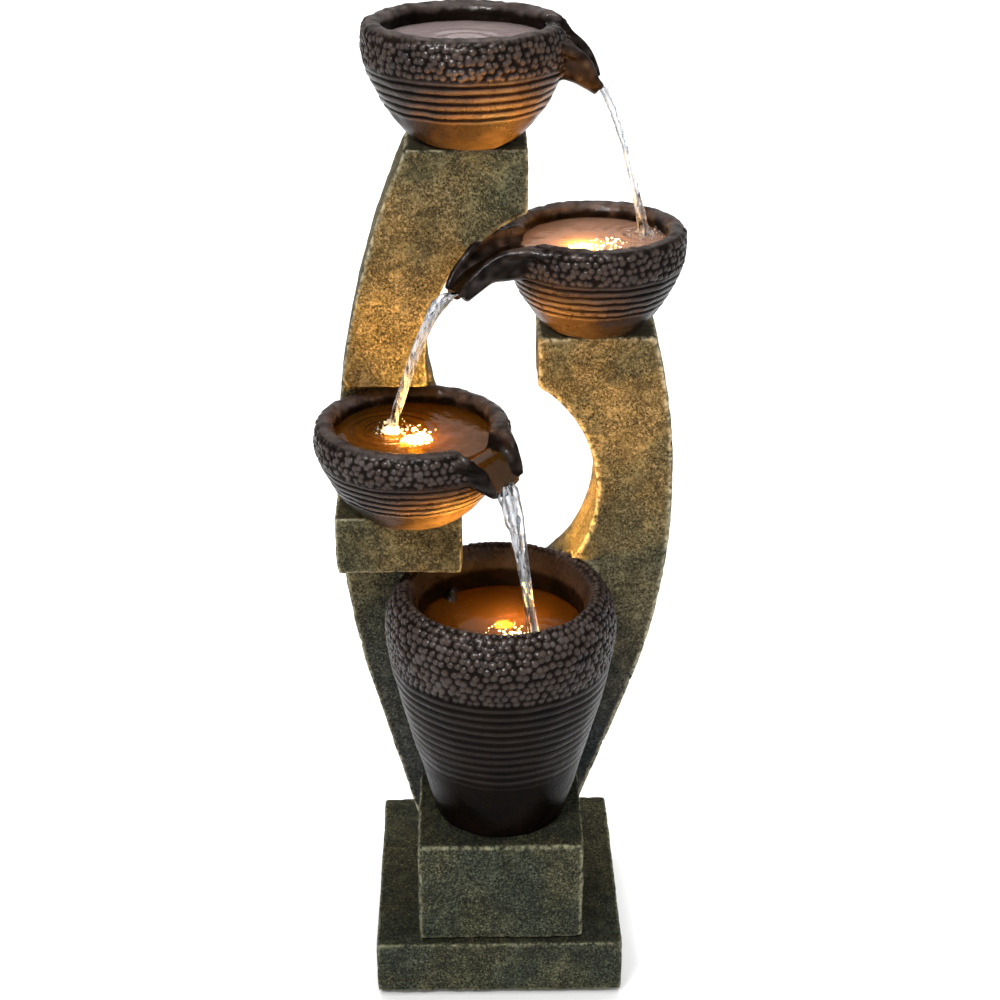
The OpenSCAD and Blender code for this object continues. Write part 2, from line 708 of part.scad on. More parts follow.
module pump_volute() {
    color(dark_plastic) difference() {
        union() {
            pump_prism(pump_w - 6, pump_h - 2, pump_cut, volute_front, pump_split);
            translate([pump_x, -56, pump_z + 20]) cylinder(h = 16, r = hose_r, $fn = small_fn);
        }
        rod_y(pump_x, pump_z, 17, volute_front + 2, pump_split + 1);
        rod_y(pump_x, pump_z, 6, volute_front - 1, volute_front + 3);
        translate([pump_x, -56, pump_z + 10]) cylinder(h = 30, r = hose_bore_r, $fn = small_fn);
    }
}
module impeller_rotor() {
    color("gray") difference() {
        union() {
            rod_y(pump_x, pump_z, 9, -50, -26);
            rod_y(pump_x, pump_z, 5, -59, -50);
            rod_y(pump_x, pump_z, 13.5, -53, -51);
            for (a = [0:60:300]) translate([pump_x, 0, pump_z]) rotate([0, a, 0])
                box(4, 13, -58.5, -52.5, -0.8, 0.8);
        }
        rod_y(pump_x, pump_z, 1.55, -60, -25);
    }
}
module pump_shaft() {
    color("white") rod_y(pump_x, pump_z, 1.5, -59.5, -20);
}
module strainer_cover() {
    color(dark_plastic) difference() {
        union() {
            difference() {
                pump_prism(pump_w, pump_h, pump_cut, strainer_front, volute_front - 1.5);
                pump_prism(pump_w - 5, pump_h - 5, pump_cut - 1, strainer_front + 2.5,
                    volute_front);
            }
            for (s = [-1, 1]) translate([pump_x + s * (pump_w / 2 - 1.25), 0, pump_z])
                box(-1.25, 1.25, -66, -54, -9, 9);
        }
        for (x = [-18:6:18]) if (abs(x) > 9) translate([pump_x + x, 0, pump_z])
            box(-1.2, 1.2, strainer_front - 1, strainer_front + 4, -13, 13);
        rod_y(pump_x, pump_z, 2.05, strainer_front - 1, strainer_front + 4);
        for (z = [-12, -4, 4, 12]) translate([pump_x, -75, pump_z + z])
            box(-pump_w, pump_w, 0, 8, -1.2, 1.2);
    }
}
module flow_knob() {
    color("#3a3a3c") {
        rod_y(pump_x, pump_z, 8, strainer_front - 5.5, strainer_front - 0.4);
        rod_y(pump_x, pump_z, 2, strainer_front - 1, strainer_front + 5);
        translate([pump_x, 0, pump_z]) box(-1.2, 1.2, -88, strainer_front - 5.4, -7, 7);
        translate([pump_x, 0, pump_z]) box(-9, 9, strainer_front + 3.2, strainer_front + 5, -3, 3);
    }
}
module pump_suction_cups() {
    cup_top = pump_z - pump_h / 2 + 1;
    low = pedestal_top + floor_h;
    color(rubber_black) for (x = [-12, 12]) for (y = [-41, -25])
        translate([pump_x + x, y, low])
            cylinder(h = cup_top - low, r1 = 7, r2 = 1.9, $fn = small_fn);
}

// ---- Lights ----
module light_housing(p) {
    cup_low = p[3] - lens_h + 2 - cup_h;
    color(dark_plastic) difference() {
        union() {
            translate([p[0], p[1], p[2]]) cylinder(h = 3, r = 8, $fn = small_fn);
            translate([p[0], p[1], p[2]]) cylinder(h = cup_low - p[2] + 1, r = stem_r,
                $fn = small_fn);
            translate([p[0], p[1], cup_low]) cylinder(h = cup_h, r = cup_r, $fn = small_fn);
        }
        translate([p[0], p[1], p[2] - 1]) cylinder(h = cup_low - p[2] + 9, r = stem_bore_r,
            $fn = small_fn);
        translate([p[0], p[1], cup_low + 3]) cylinder(h = cup_h, r = 9.2, $fn = small_fn);
        translate([p[0], p[1], cup_low + cup_h - 2]) cylinder(h = 3, r = lens_r, $fn = small_fn);
    }
}
module light_board(p) {
    low = p[3] - lens_h + 2 - cup_h + 3;
    color("white") translate([p[0], p[1], low]) {
        cylinder(h = 1.6, r = 9, $fn = small_fn);
        for (a = [45:90:315]) rotate([0, 0, a]) translate([3.2, -1.3, 1.5]) cube([2.6, 2.6, 1.3]);
    }
}
module light_lens(p) {
    cap_r = (lens_r * lens_r + pow(lens_h - 2, 2)) / (2 * (lens_h - 2));
    color(amber) translate([p[0], p[1], p[3] - lens_h]) {
        cylinder(h = 2, r = lens_r, $fn = small_fn);
        intersection() {
            translate([0, 0, lens_h - cap_r]) sphere(r = cap_r, $fn = round_fn);
            translate([0, 0, 2 - eps]) cylinder(h = lens_h, r = lens_r, $fn = small_fn);
        }
    }
}
module light_middle_housing() { light_housing(light_middle); }
module light_middle_board() { light_board(light_middle); }
module light_middle_lens() { light_lens(light_middle); }
module light_lower_housing() { light_housing(light_lower); }
module light_lower_board() { light_board(light_lower); }
module light_lower_lens() { light_lens(light_lower); }
module light_pot_housing() { light_housing(light_pot); }
module light_pot_board() { light_board(light_pot); }
module light_pot_lens() { light_lens(light_pot); }

module lead(route) {
    color(rubber_black) sweep(route, lead_r, 4, 8);
}
module pump_lead() { lead(pump_lead_route); }
module lead_middle() { lead(lead_middle_route); }
module lead_lower() { lead(lead_lower_route); }
module lead_pot() { lead(lead_pot_route); }

base_slab();
base_plate();
plate_screws();
foot_pads();
pedestal_block();
left_pillar();
lower_bracket();
right_pillar();
left_rear_cover();
right_rear_cover();
cover_screws();
bowl_top();
bowl_middle();
bowl_lower();
pot();
riser_hose_lower();
riser_elbow_lower();
riser_elbow_upper();
riser_hose_upper();
riser_bush();
riser_nozzle();
hose_grommet();
cable_grommet();
pump_housing();
pump_volute();
impeller_rotor();
pump_shaft();
strainer_cover();
flow_knob();
pump_suction_cups();
light_middle_housing();
light_middle_board();
light_middle_lens();
light_lower_housing();
light_lower_board();
light_lower_lens();
light_pot_housing();
light_pot_board();
light_pot_lens();
pump_lead();
lead_middle();
lead_lower();
lead_pot();
junction_box();
power_gland();
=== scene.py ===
"""Looks of the tiered fountain: cast stone, hammered glaze, water and warm lights."""
import json
import math

import bmesh
import bpy
import numpy as np
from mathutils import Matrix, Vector

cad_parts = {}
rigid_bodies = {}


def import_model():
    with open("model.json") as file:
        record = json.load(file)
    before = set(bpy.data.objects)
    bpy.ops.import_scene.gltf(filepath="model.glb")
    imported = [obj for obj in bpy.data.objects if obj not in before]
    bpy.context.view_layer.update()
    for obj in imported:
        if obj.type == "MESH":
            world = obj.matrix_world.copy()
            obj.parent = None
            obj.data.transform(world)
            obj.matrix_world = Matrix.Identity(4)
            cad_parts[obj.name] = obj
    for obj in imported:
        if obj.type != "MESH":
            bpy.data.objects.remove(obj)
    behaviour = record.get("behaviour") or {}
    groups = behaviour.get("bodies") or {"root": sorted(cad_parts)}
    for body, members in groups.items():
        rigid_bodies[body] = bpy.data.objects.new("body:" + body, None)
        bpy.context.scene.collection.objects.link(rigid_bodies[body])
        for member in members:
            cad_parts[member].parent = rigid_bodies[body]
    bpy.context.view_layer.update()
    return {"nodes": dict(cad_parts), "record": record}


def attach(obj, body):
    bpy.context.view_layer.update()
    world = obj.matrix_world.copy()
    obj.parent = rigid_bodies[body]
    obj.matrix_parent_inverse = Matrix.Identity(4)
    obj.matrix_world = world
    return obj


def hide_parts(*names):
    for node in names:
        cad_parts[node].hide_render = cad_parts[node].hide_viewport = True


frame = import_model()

SCENE = bpy.context.scene
ROOT = "fountain"

# Camera: place in metres, downward pitch and turn to the right in degrees, lens in mm
CAMERA_PLACE = (-0.0287, -1.7181, 1.3531)
CAMERA_PITCH = 25.83
CAMERA_TURN = 1.054
CAMERA_LENS = 67.95

# Bowls: centre in plan, foot height, largest radius, height, spout direction in degrees and
# distance of the spout's tip from the centre. The spout's lips are given to the left of its
# direction and to the right: half width and depth below the crest at five stations. low is the
# depth of its underside and bed that of the channel's floor. Spout sizes are in millimetres.
BOWLS = {
    "bowl_top": dict(
        centre=(-0.0286, 0.052), foot=0.880, r=0.098, h=0.113, turn=0.0, reach=0.127,
        left=((30, 2), (29, 7), (25, 23), (21, 41), (19, 56)),
        right=((35, 3), (33, 10), (34, 26), (27, 49), (20, 58)),
        low=(46, 54, 57, 62, 71), bed=(22, 22, 33, 52, 63)),
    "bowl_middle": dict(
        centre=(0.0965, 0.045), foot=0.692, r=0.089, h=0.104, turn=207.8, reach=0.154,
        left=((31, 1), (27, 2), (22, 5), (15, 24), (12, 42)),
        right=((38, 1), (36, 1), (32, 3), (25, 25), (20, 43)),
        low=(46, 46, 43, 41, 55), bed=(20, 20, 24, 37, 50)),
    "bowl_lower": dict(
        centre=(-0.083, -0.030), foot=0.525, r=0.0965, h=0.100, turn=-35.0, reach=0.1135,
        left=((35, 1), (30, 1), (25, 6), (24, 22), (23, 36)),
        right=((42, 2), (40, 6), (36, 16), (32, 30), (27, 40)),
        low=(42, 45, 46, 48, 53), bed=(18, 18, 24, 35, 46)),
}
FLOOR_H = 0.012
FLOOR_HOLE = 0.010
SPOUT_WALL = 0.0055
BOWL_VOXEL = 0.00145

# The side and the inside of the bowls are drawn once, for a bowl of this radius and height with
# the middle of its rolled rim at this radius, all in millimetres, and are scaled to each bowl.
DRAWN_R = 98
DRAWN_H = 113
DRAWN_RIM = 87
RIM_TUBE = 0.010

# Relief of the glazed pieces: spacing of the bumps, then height of bumps and of ridges, each with
# how far it is set in, and the height of the slow lumps that throwing leaves
BOWL_PITCH = 0.0068
BOWL_BUMPS = (0.0018, 0.0008)
BOWL_RIDGES = (0.0016, 0.0012)
BOWL_LUMPS = 0.0017
POT_PITCH = 0.0076
POT_BUMPS = (0.0022, 0.0010)
POT_RIDGES = (0.0019, 0.0014)
POT_LUMPS = 0.0016

# Pot: centre in plan, foot height, points around, heights where the ridges start and end, their
# number, and the height where the bumps start
POT_CENTRE = (0.003, -0.042)
POT_FOOT = 0.187
POT_AROUND = 560
POT_RIDGE_BAND = (0.071, 0.180, 11)
POT_BUMPS_FROM = 0.181

# Stone pieces: grid size of the copy, look, slot
STONE_NODES = {
    "base_slab": (0.0026, "base_stone", "base_stone"),
    "pedestal_block": (0.0022, "base_stone", "stone"),
    "left_pillar": (0.0025, "cast_stone", "stone"),
    "lower_bracket": (0.0019, "cast_stone", "stone"),
    "right_pillar": (0.0024, "cast_stone", "stone"),
}
CHIP_DEPTH = 0.0012
DENT_DEPTH = 0.0009
SKIN_LOSS = 0.0006

# Looks of standing water: painted tint, how clear, how shiny. The tint is painted light: the amber
# stands in for the glow of the lamps under the water, the other tints for what the water reflects
# and shows
WATERS = {
    "water_grey": ((0.46, 0.37, 0.36), 0.62, 0.5),
    "water_rosy": ((0.42, 0.25, 0.17), 0.60, 0.5),
    "water_amber": ((0.30, 0.12, 0.015), 0.88, 0.12),
    "water_run": ((0.10, 0.045, 0.016), 0.93, 0.3),
}
WATER_IOR = 1.333
# Pools: look, centre, level and radius, then the ripples' centre, height, length and reach
POOLS = {
    "water_top": ("water_grey", (-0.0286, 0.052), 0.9745, 0.0800,
                  (-0.0286, 0.052, 0.0014, 0.018, 0.02)),
    "water_middle": ("water_rosy", (0.0965, 0.045), 0.7810, 0.0740,
                     (0.146, 0.062, 0.0014, 0.012, 0.022)),
    "water_lower": ("water_amber", (-0.083, -0.030), 0.609, 0.0805,
                    (-0.1035, -0.023, 0.0016, 0.012, 0.024)),
    "water_pot": ("water_amber", POT_CENTRE, 0.400, 0.0860,
                  (0.040, -0.098, 0.0016, 0.014, 0.026)),
}
POOL_DEPTH = 0.004
# Streams: start, end, half widths from the top down, number of strands, seed
STREAMS = {
    "stream_top": ((0.0955, 0.053, 0.932), (0.146, 0.062, 0.779),
                   (0.0056, 0.0050, 0.0056, 0.0064), 2, 3),
    "stream_middle": ((-0.042, -0.028, 0.752), (-0.1035, -0.023, 0.609),
                      (0.0096, 0.0076, 0.0056, 0.0042), 3, 7),
    "stream_lower": ((0.002, -0.098, 0.5845), (0.038, -0.102, 0.400),
                     (0.0120, 0.0080, 0.0058, 0.0052), 3, 11),
}
STREAM_SAG = 0.62
STREAM_TWIST = 2.0
# Water in the spouts: bowl, the pool that feeds it, look
RUNS = (("bowl_top", "water_top", "water_run"), ("bowl_middle", "water_middle", "water_run"),
        ("bowl_lower", "water_lower", "water_amber"))
# Drops of water, and the drops over the lights, which glow with painted light: centre, radius,
# number, height, seed, flatness
SPLASHES = {
    "splash_middle": ((0.146, 0.060, 0.780), 0.020, 60, 0.010, 5, 1.0),
    "splash_lower": ((-0.1035, -0.023, 0.610), 0.018, 70, 0.012, 6, 1.0),
    "splash_pot": ((0.036, -0.095, 0.401), 0.022, 80, 0.014, 8, 1.0),
    "bubbles_middle": ((0.082, 0.018, 0.7812), 0.014, 90, 0.002, 15, 0.4),
    "glints_middle": ((0.104, 0.026, 0.7813), 0.025, 45, 0.001, 19, 0.4),
    "bubbles_lower": ((-0.078, -0.046, 0.6092), 0.015, 100, 0.002, 16, 0.4),
    "glints_lower": ((-0.080, -0.034, 0.6092), 0.024, 40, 0.001, 20, 0.4),
    "bubbles_foot": ((-0.1035, -0.026, 0.6092), 0.010, 90, 0.006, 17, 0.7),
    "bubbles_pot": ((0.019, -0.076, 0.4003), 0.021, 150, 0.003, 18, 0.4),
    "glints_pot": ((0.010, -0.062, 0.4003), 0.026, 40, 0.001, 21, 0.4),
}

AMBER = (1.0, 0.50, 0.08)
WORLD_LIGHT = 0.55
# Area lamps of the studio: place, what it looks at, size, power; glaze_key lights the glaze alone
AREAS = {
    "overhead": ((0.1, 0.3, 3.4), (0, 0, 0), 3.2, 62),
    "backdrop": ((0.0, 3.6, 3.6), (0, 3.4, 0), 3.4, 190),
    "key": ((-0.8, -1.6, 2.3), (0, 0, 0.6), 0.6, 34),
    "fill": ((1.4, -1.3, 1.0), (0, 0, 0.5), 0.9, 4),
    "glaze_key": ((-0.55, -1.7, 2.3), (0, 0, 0.6), 0.45, 125),
}
# Glow of the three lights in their own water: place, power
GLOWS = {
    "glow_middle": ((0.084, 0.026, 0.790), 0.55),
    "glow_lower": ((-0.080, -0.045, 0.622), 0.75),
    "glow_pot": ((0.015, -0.030, 0.424), 0.55),
}
GLOW_SIZE = 0.008
# What the lights throw on the pieces above: place, what it looks at, cone in degrees, power, and
# the pieces that it reaches
THROWS = {
    "throw_on_top": ((0.050, -0.050, 0.800), (-0.018, -0.005, 0.897), 72, 44, "glaze"),
    "throw_on_middle": ((-0.030, -0.095, 0.640), (0.062, -0.012, 0.702), 44, 40, "glaze"),
    "throw_on_lower": ((0.022, -0.140, 0.445), (-0.058, -0.072, 0.542), 40, 230, "glaze"),
    "throw_on_back": ((-0.085, -0.065, 0.625), (-0.078, 0.01, 0.740), 96, 4.6, "stone"),
    "throw_on_gap": ((0.010, 0.050, 0.455), (0.092, 0.05, 0.515), 140, 4.2, "not_bracket"),
    "throw_on_spout": ((0.090, -0.080, 0.820), (0.078, 0.030, 0.940), 34, 9, "glaze"),
    "throw_on_block": ((-0.02, -0.42, 0.60), (-0.075, -0.05, 0.490), 22, 7, "bracket"),
    "throw_on_right": ((0.020, -0.200, 0.520), (0.112, 0.01, 0.610), 62, 5.0, "not_bracket"),
}
THROW_SIZE = 0.024


# ---------------------------------------------------------------- numbers
def curve_at(a, b, c, d, t):
    """Point of a smooth curve between b and c."""
    return 0.5 * (2 * b + (c - a) * t + (2 * a - 5 * b + 4 * c - d) * t * t
                  + (3 * b - a - 3 * c + d) * t ** 3)


def smooth_line(points, steps):
    """Smooth curve through the points, with that many steps between neighbours."""
    p = np.array(points, float)
    out = []
    for i in range(len(p) - 1):
        a, d = p[max(i - 1, 0)], p[min(i + 2, len(p) - 1)]
        out += [curve_at(a, p[i], p[i + 1], d, k / steps) for k in range(steps)]
    return np.array(out + [p[-1]])


def arc(centre, radius, start, end, steps):
    """Points of an arc, angles in degrees."""
    a = np.radians(np.linspace(start, end, steps + 1))
    return np.stack([centre[0] + radius * np.cos(a), centre[1] + radius * np.sin(a)], 1)


def step(x, low, high):
    """0 below low, 1 above high, smooth between."""
    t = np.clip((x - low) / (high - low), 0, 1)
    return t * t * (3 - 2 * t)


def lattice(i, seed):
    """A number from 0 to 1 for each row of whole numbers."""
    h = (i[:, 0] * 374761393 + i[:, 1] * 668265263 + i[:, 2] * 1442695041 + seed * 97531)
    h = (h ^ (h >> 13)) & 0x7FFFFFFF
    h = (h * 1274126177) & 0x7FFFFFFF
    return ((h ^ (h >> 16)) & 0xFFFF) / 65535.0


def grain(p, size, seed):
    """Smooth noise from 0 to 1 with features of that size."""
    q = p / size
    base = np.floor(q).astype(np.int64)
    f = q - base
    f = f * f * (3 - 2 * f)
    total = np.zeros(len(p))
    for corner in range(8):
        bit = np.array([corner & 1, corner >> 1 & 1, corner >> 2 & 1])
        weight = np.prod(np.where(bit, f, 1 - f), axis=1)
        total += weight * lattice(base + bit, seed)
    return total


def domes(u, v, seed, loose=0.22):
    """Height from 0 to 1 of rounded bumps in staggered rows; u and v are in bump spacings."""
    row = np.floor(v).astype(np.int64)
    best = np.zeros(len(u))
    for dv in (-1, 0, 1):
        r = row + dv
        shift = 0.5 * (r & 1)
        col = np.floor(u - shift).astype(np.int64)
        for du in (-1, 0, 1):
            c = col + du
            key = np.stack([c, r, np.zeros_like(c)], 1)
            cu = c + shift + 0.5 + loose * (lattice(key, seed) - 0.5) * 2
            cv = r + 0.5 + loose * (lattice(key, seed + 1) - 0.5) * 2
            size = 0.46 + 0.12 * lattice(key, seed + 2)
            d = np.hypot(u - cu, v - cv) / size
            best = np.maximum(best, np.sqrt(np.clip(1 - d * d, 0, 1)) * (0.75 + 0.5 * size))
    return best


# ---------------------------------------------------------------- meshes
def mesh_object(name, verts, faces):
    mesh = bpy.data.meshes.new(name)
    mesh.from_pydata([tuple(v) for v in verts], [], [tuple(f) for f in faces])
    mesh.update()
    obj = bpy.data.objects.new(name, mesh)
    SCENE.collection.objects.link(obj)
    return obj


def fix_normals(obj):
    bm = bmesh.new()
    bm.from_mesh(obj.data)
    bmesh.ops.remove_doubles(bm, verts=bm.verts, dist=1e-6)
    bmesh.ops.recalc_face_normals(bm, faces=bm.faces)
    if bm.calc_volume(signed=True) < 0:
        bmesh.ops.reverse_faces(bm, faces=bm.faces)
    bm.to_mesh(obj.data)
    bm.free()


def ring_faces(rings, around):
    """Quads between neighbouring rings of points."""
    faces = []
    for i in range(rings - 1):
        a, b = i * around, (i + 1) * around
        for k in range(around):
            n = (k + 1) % around
            faces.append((a + k, a + n, b + n, b + k))
    return faces


def stack_object(name, rings):
    """Closed solid from rings of equally many points, with a flat cap at each end."""
    n = len(rings[0])
    faces = ring_faces(len(rings), n)
    faces += [tuple(range(n)), tuple((len(rings) - 1) * n + k for k in range(n))]
    obj = mesh_object(name, np.concatenate(rings), faces)
    fix_normals(obj)
    return obj


def revolve(name, profile, around):
    """Solid of revolution. The profile's first and last points lie on the axis."""
    a = np.linspace(0, 2 * math.pi, around, endpoint=False)
    rim = [(r, z) for r, z in profile if r > 1e-6]
    verts = [(r * math.cos(t), r * math.sin(t), z) for r, z in rim for t in a]
    faces = ring_faces(len(rim), around)
    first, last = len(verts), len(verts) + 1
    verts += [(0, 0, profile[0][1]), (0, 0, profile[-1][1])]
    top = (len(rim) - 1) * around
    for k in range(around):
        n = (k + 1) % around
        faces += [(first, n, k), (last, top + k, top + n)]
    obj = mesh_object(name, verts, faces)
    fix_normals(obj)
    return obj


def apply_modifiers(obj):
    deps = bpy.context.evaluated_depsgraph_get()
    made = bpy.data.meshes.new_from_object(obj.evaluated_get(deps))
    old = obj.data
    obj.modifiers.clear()
    obj.data = made
    bpy.data.meshes.remove(old)


def cut_or_join(obj, tool, how):
    mod = obj.modifiers.new("b", "BOOLEAN")
    mod.operation = how
    mod.solver = "EXACT"
    mod.object = tool
    apply_modifiers(obj)
    bpy.data.objects.remove(tool)
    fix_normals(obj)


def remesh(obj, voxel):
    mod = obj.modifiers.new("r", "REMESH")
    mod.mode = "VOXEL"
    mod.voxel_size = voxel
    apply_modifiers(obj)


def coords(mesh):
    co = np.empty(len(mesh.vertices) * 3)
    mesh.vertices.foreach_get("co", co)
    return co.reshape(-1, 3)


def set_coords(mesh, co):
    mesh.vertices.foreach_set("co", np.ascontiguousarray(co, dtype=np.float32).ravel())
    mesh.update()


def vertex_normals(mesh):
    n = np.empty(len(mesh.vertices) * 3, dtype=np.float32)
    mesh.vertex_normals.foreach_get("vector", n)
    return n.reshape(-1, 3).astype(float)


def relax(mesh, rounds):
    """New coordinates, with every vertex moved half way to the mean of its neighbours."""
    e = np.empty(len(mesh.edges) * 2, dtype=np.int32)
    mesh.edges.foreach_get("vertices", e)
    a, b = e[0::2], e[1::2]
    co = coords(mesh)
    n = len(co)
    count = np.bincount(a, minlength=n) + np.bincount(b, minlength=n)
    for _ in range(rounds):
        mean = np.stack([np.bincount(a, co[b, k], n) + np.bincount(b, co[a, k], n)
                         for k in range(3)], 1) / count[:, None]
        co = co + 0.5 * (mean - co)
    return co


def set_attribute(mesh, name, values):
    att = mesh.attributes.new(name, "FLOAT", "POINT")
    att.data.foreach_set("value", np.ascontiguousarray(values, dtype=np.float32))


def shade_smooth(obj):
    obj.data.polygons.foreach_set("use_smooth", np.ones(len(obj.data.polygons), dtype=bool))
    obj.data.update()


def finish_piece(obj, material, slot=None, *nodes):
    """Gives the piece its material and its body, and hides the CAD nodes it stands for; slot is
    not used.
    """
    shade_smooth(obj)
    obj.data.materials.clear()
    obj.data.materials.append(material)
    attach(obj, ROOT)
    if nodes:
        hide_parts(*nodes)
    return obj


# ---------------------------------------------------------------- materials
class Shader:
    """Small helper that builds one node material."""

    def __init__(self, name):
        self.material = bpy.data.materials.new(name)
        self.material.use_nodes = True
        self.tree = self.material.node_tree
        self.tree.nodes.clear()
        self.out = self.node("ShaderNodeOutputMaterial")
        self.bsdf = self.node("ShaderNodeBsdfPrincipled")
        self.link(self.bsdf.outputs[0], self.out.inputs["Surface"])
        self.place = self.node("ShaderNodeTexCoord").outputs["Object"]

    def node(self, kind, **values):
        n = self.tree.nodes.new(kind)
        for key, value in values.items():
            setattr(n, key, value)
        return n

    def link(self, a, b):
        self.tree.links.new(a, b)

    def put(self, target, value):
        if hasattr(value, "links"):
            self.link(value, target)
        else:
            target.default_value = value

    def noise(self, size, detail=3.0, rough=0.55, place=None):
        n = self.node("ShaderNodeTexNoise")
        self.link(place or self.place, n.inputs["Vector"])
        n.inputs["Scale"].default_value = 1.0 / size
        n.inputs["Detail"].default_value = detail
        n.inputs["Roughness"].default_value = rough
        return n.outputs["Fac"]

    def cells(self, size):
        n = self.node("ShaderNodeTexVoronoi")
        self.link(self.place, n.inputs["Vector"])
        n.inputs["Scale"].default_value = 1.0 / size
        return n.outputs["Distance"]

    def stretched(self, scale):
        n = self.node("ShaderNodeMapping")
        self.link(self.place, n.inputs["Vector"])
        n.inputs["Scale"].default_value = scale
        return n.outputs[0]

    def ramp(self, value, stops):
        n = self.node("ShaderNodeValToRGB")
        while len(n.color_ramp.elements) < len(stops):
            n.color_ramp.elements.new(0.5)
        for element, (at, colour) in zip(n.color_ramp.elements, stops):
            element.position = at
            element.color = (*colour, 1)
        self.link(value, n.inputs["Fac"])
        return n.outputs["Color"]

    def level(self, value, low, high, to_low=0.0, to_high=1.0):
        n = self.node("ShaderNodeMapRange", interpolation_type="SMOOTHSTEP")
        self.put(n.inputs["Value"], value)
        for key, number in zip(("From Min", "From Max", "To Min", "To Max"),
                               (low, high, to_low, to_high)):
            n.inputs[key].default_value = number
        return n.outputs["Result"]

    def mix(self, amount, a, b, blend="MIX"):
        n = self.node("ShaderNodeMix", data_type="RGBA", blend_type=blend)
        self.put(n.inputs["Factor"], amount)
        for key, value in (("A", a), ("B", b)):
            target = [i for i in n.inputs if i.name == key and i.type == "RGBA"][0]
            self.put(target, (*value, 1) if isinstance(value, tuple) else value)
        return [o for o in n.outputs if o.type == "RGBA"][0]

    def math(self, how, a, b=0.0):
        n = self.node("ShaderNodeMath", operation=how)
        self.put(n.inputs[0], a)
        self.put(n.inputs[1], b)
        return n.outputs[0]

    def attribute(self, name):
        return self.node("ShaderNodeAttribute", attribute_name=name).outputs["Fac"]

    def axis(self, source, name):
        n = self.node("ShaderNodeSeparateXYZ")
        self.link(source, n.inputs[0])
        return n.outputs[name]

    def bump(self, height, depth, strength=1.0):
        n = self.node("ShaderNodeBump")
        n.inputs["Strength"].default_value = strength
        n.inputs["Distance"].default_value = depth
        self.link(height, n.inputs["Height"])
        self.link(n.outputs[0], self.bsdf.inputs["Normal"])

    def set(self, **values):
        for key, value in values.items():
            self.put(self.bsdf.inputs[key.replace("_", " ")], value)


def stone_material(name, light, mid, dark, low_painted_shade, edge, painted_shade_fade):
    """Cast stone: gritty and crazed, mottled, with painted shade that makes it darker and greyer
    towards the ground and darker and browner on faces that point up, and pale edges that are
    partly wear and partly painted highlight.
    """
    s = Shader(name)
    speck = s.noise(0.0024, 5.0, 0.75)
    blotch = s.noise(0.030, 4.0, 0.6)
    patch = s.noise(0.085, 3.0, 0.55)
    fine = s.noise(0.0011, 2.0, 0.6)
    colour = s.ramp(speck, [(0.33, dark), (0.48, mid), (0.66, light)])
    colour = s.mix(s.level(blotch, 0.40, 0.66, 0.0, 0.75), colour,
                   s.mix(1.0, colour, (0.52, 0.53, 0.50), "MULTIPLY"))
    colour = s.mix(s.level(patch, 0.42, 0.60, 0.0, 1.0), colour,
                   s.mix(1.0, colour, (0.62, 0.72, 0.84), "MULTIPLY"))
    # Painted shade: the colour is darkened and greyed towards the ground, fading out between the
    # two given heights
    height = s.axis(s.place, "Z")
    colour = s.mix(s.level(height, painted_shade_fade[0], painted_shade_fade[1], 1.0, 0.0), colour,
                   s.mix(1.0, colour, low_painted_shade, "MULTIPLY"))
    craze = s.math("ABSOLUTE", s.math("SUBTRACT", s.noise(0.0050, 4.0, 0.7), 0.5))
    veins = s.math("MULTIPLY", s.level(craze, 0.0, 0.045, 1.0, 0.0),
                   s.level(s.noise(0.016, 2.0), 0.32, 0.54))
    pits = s.math("MULTIPLY", s.level(s.cells(0.0042), 0.12, 0.34, 1.0, 0.0),
                  s.level(s.noise(0.013, 2.0), 0.49, 0.58))
    holes = s.math("MAXIMUM", pits, s.math("MULTIPLY", veins, 0.75))
    colour = s.mix(s.math("MULTIPLY", holes, 0.88), colour, tuple(c * 0.18 for c in dark))
    # Painted shade: faces that point up are darkened and browned
    up = s.axis(s.node("ShaderNodeNewGeometry").outputs["Normal"], "Z")
    colour = s.mix(s.level(up, 0.7, 0.95, 0.0, 0.7), colour,
                   s.mix(1.0, colour, (0.48, 0.42, 0.30), "MULTIPLY"))
    # Pale edges: partly wear, partly a painted highlight along the edges
    wear_and_edge_highlight = s.math("MULTIPLY", s.attribute("wear_and_edge_highlight"), s.level(s.noise(0.006, 3.0), 0.35, 0.62))
    colour = s.mix(wear_and_edge_highlight, colour, edge)
    s.set(Base_Color=colour, Roughness=s.level(speck, 0.3, 0.7, 0.70, 0.95))
    s.bsdf.inputs["Specular IOR Level"].default_value = 0.20
    rough = s.math("ADD", s.math("MULTIPLY", speck, 0.8), s.math("MULTIPLY", fine, 0.25))
    s.bump(s.math("SUBTRACT", rough, s.math("MULTIPLY", holes, 1.3)), 0.0027)
    return s.material


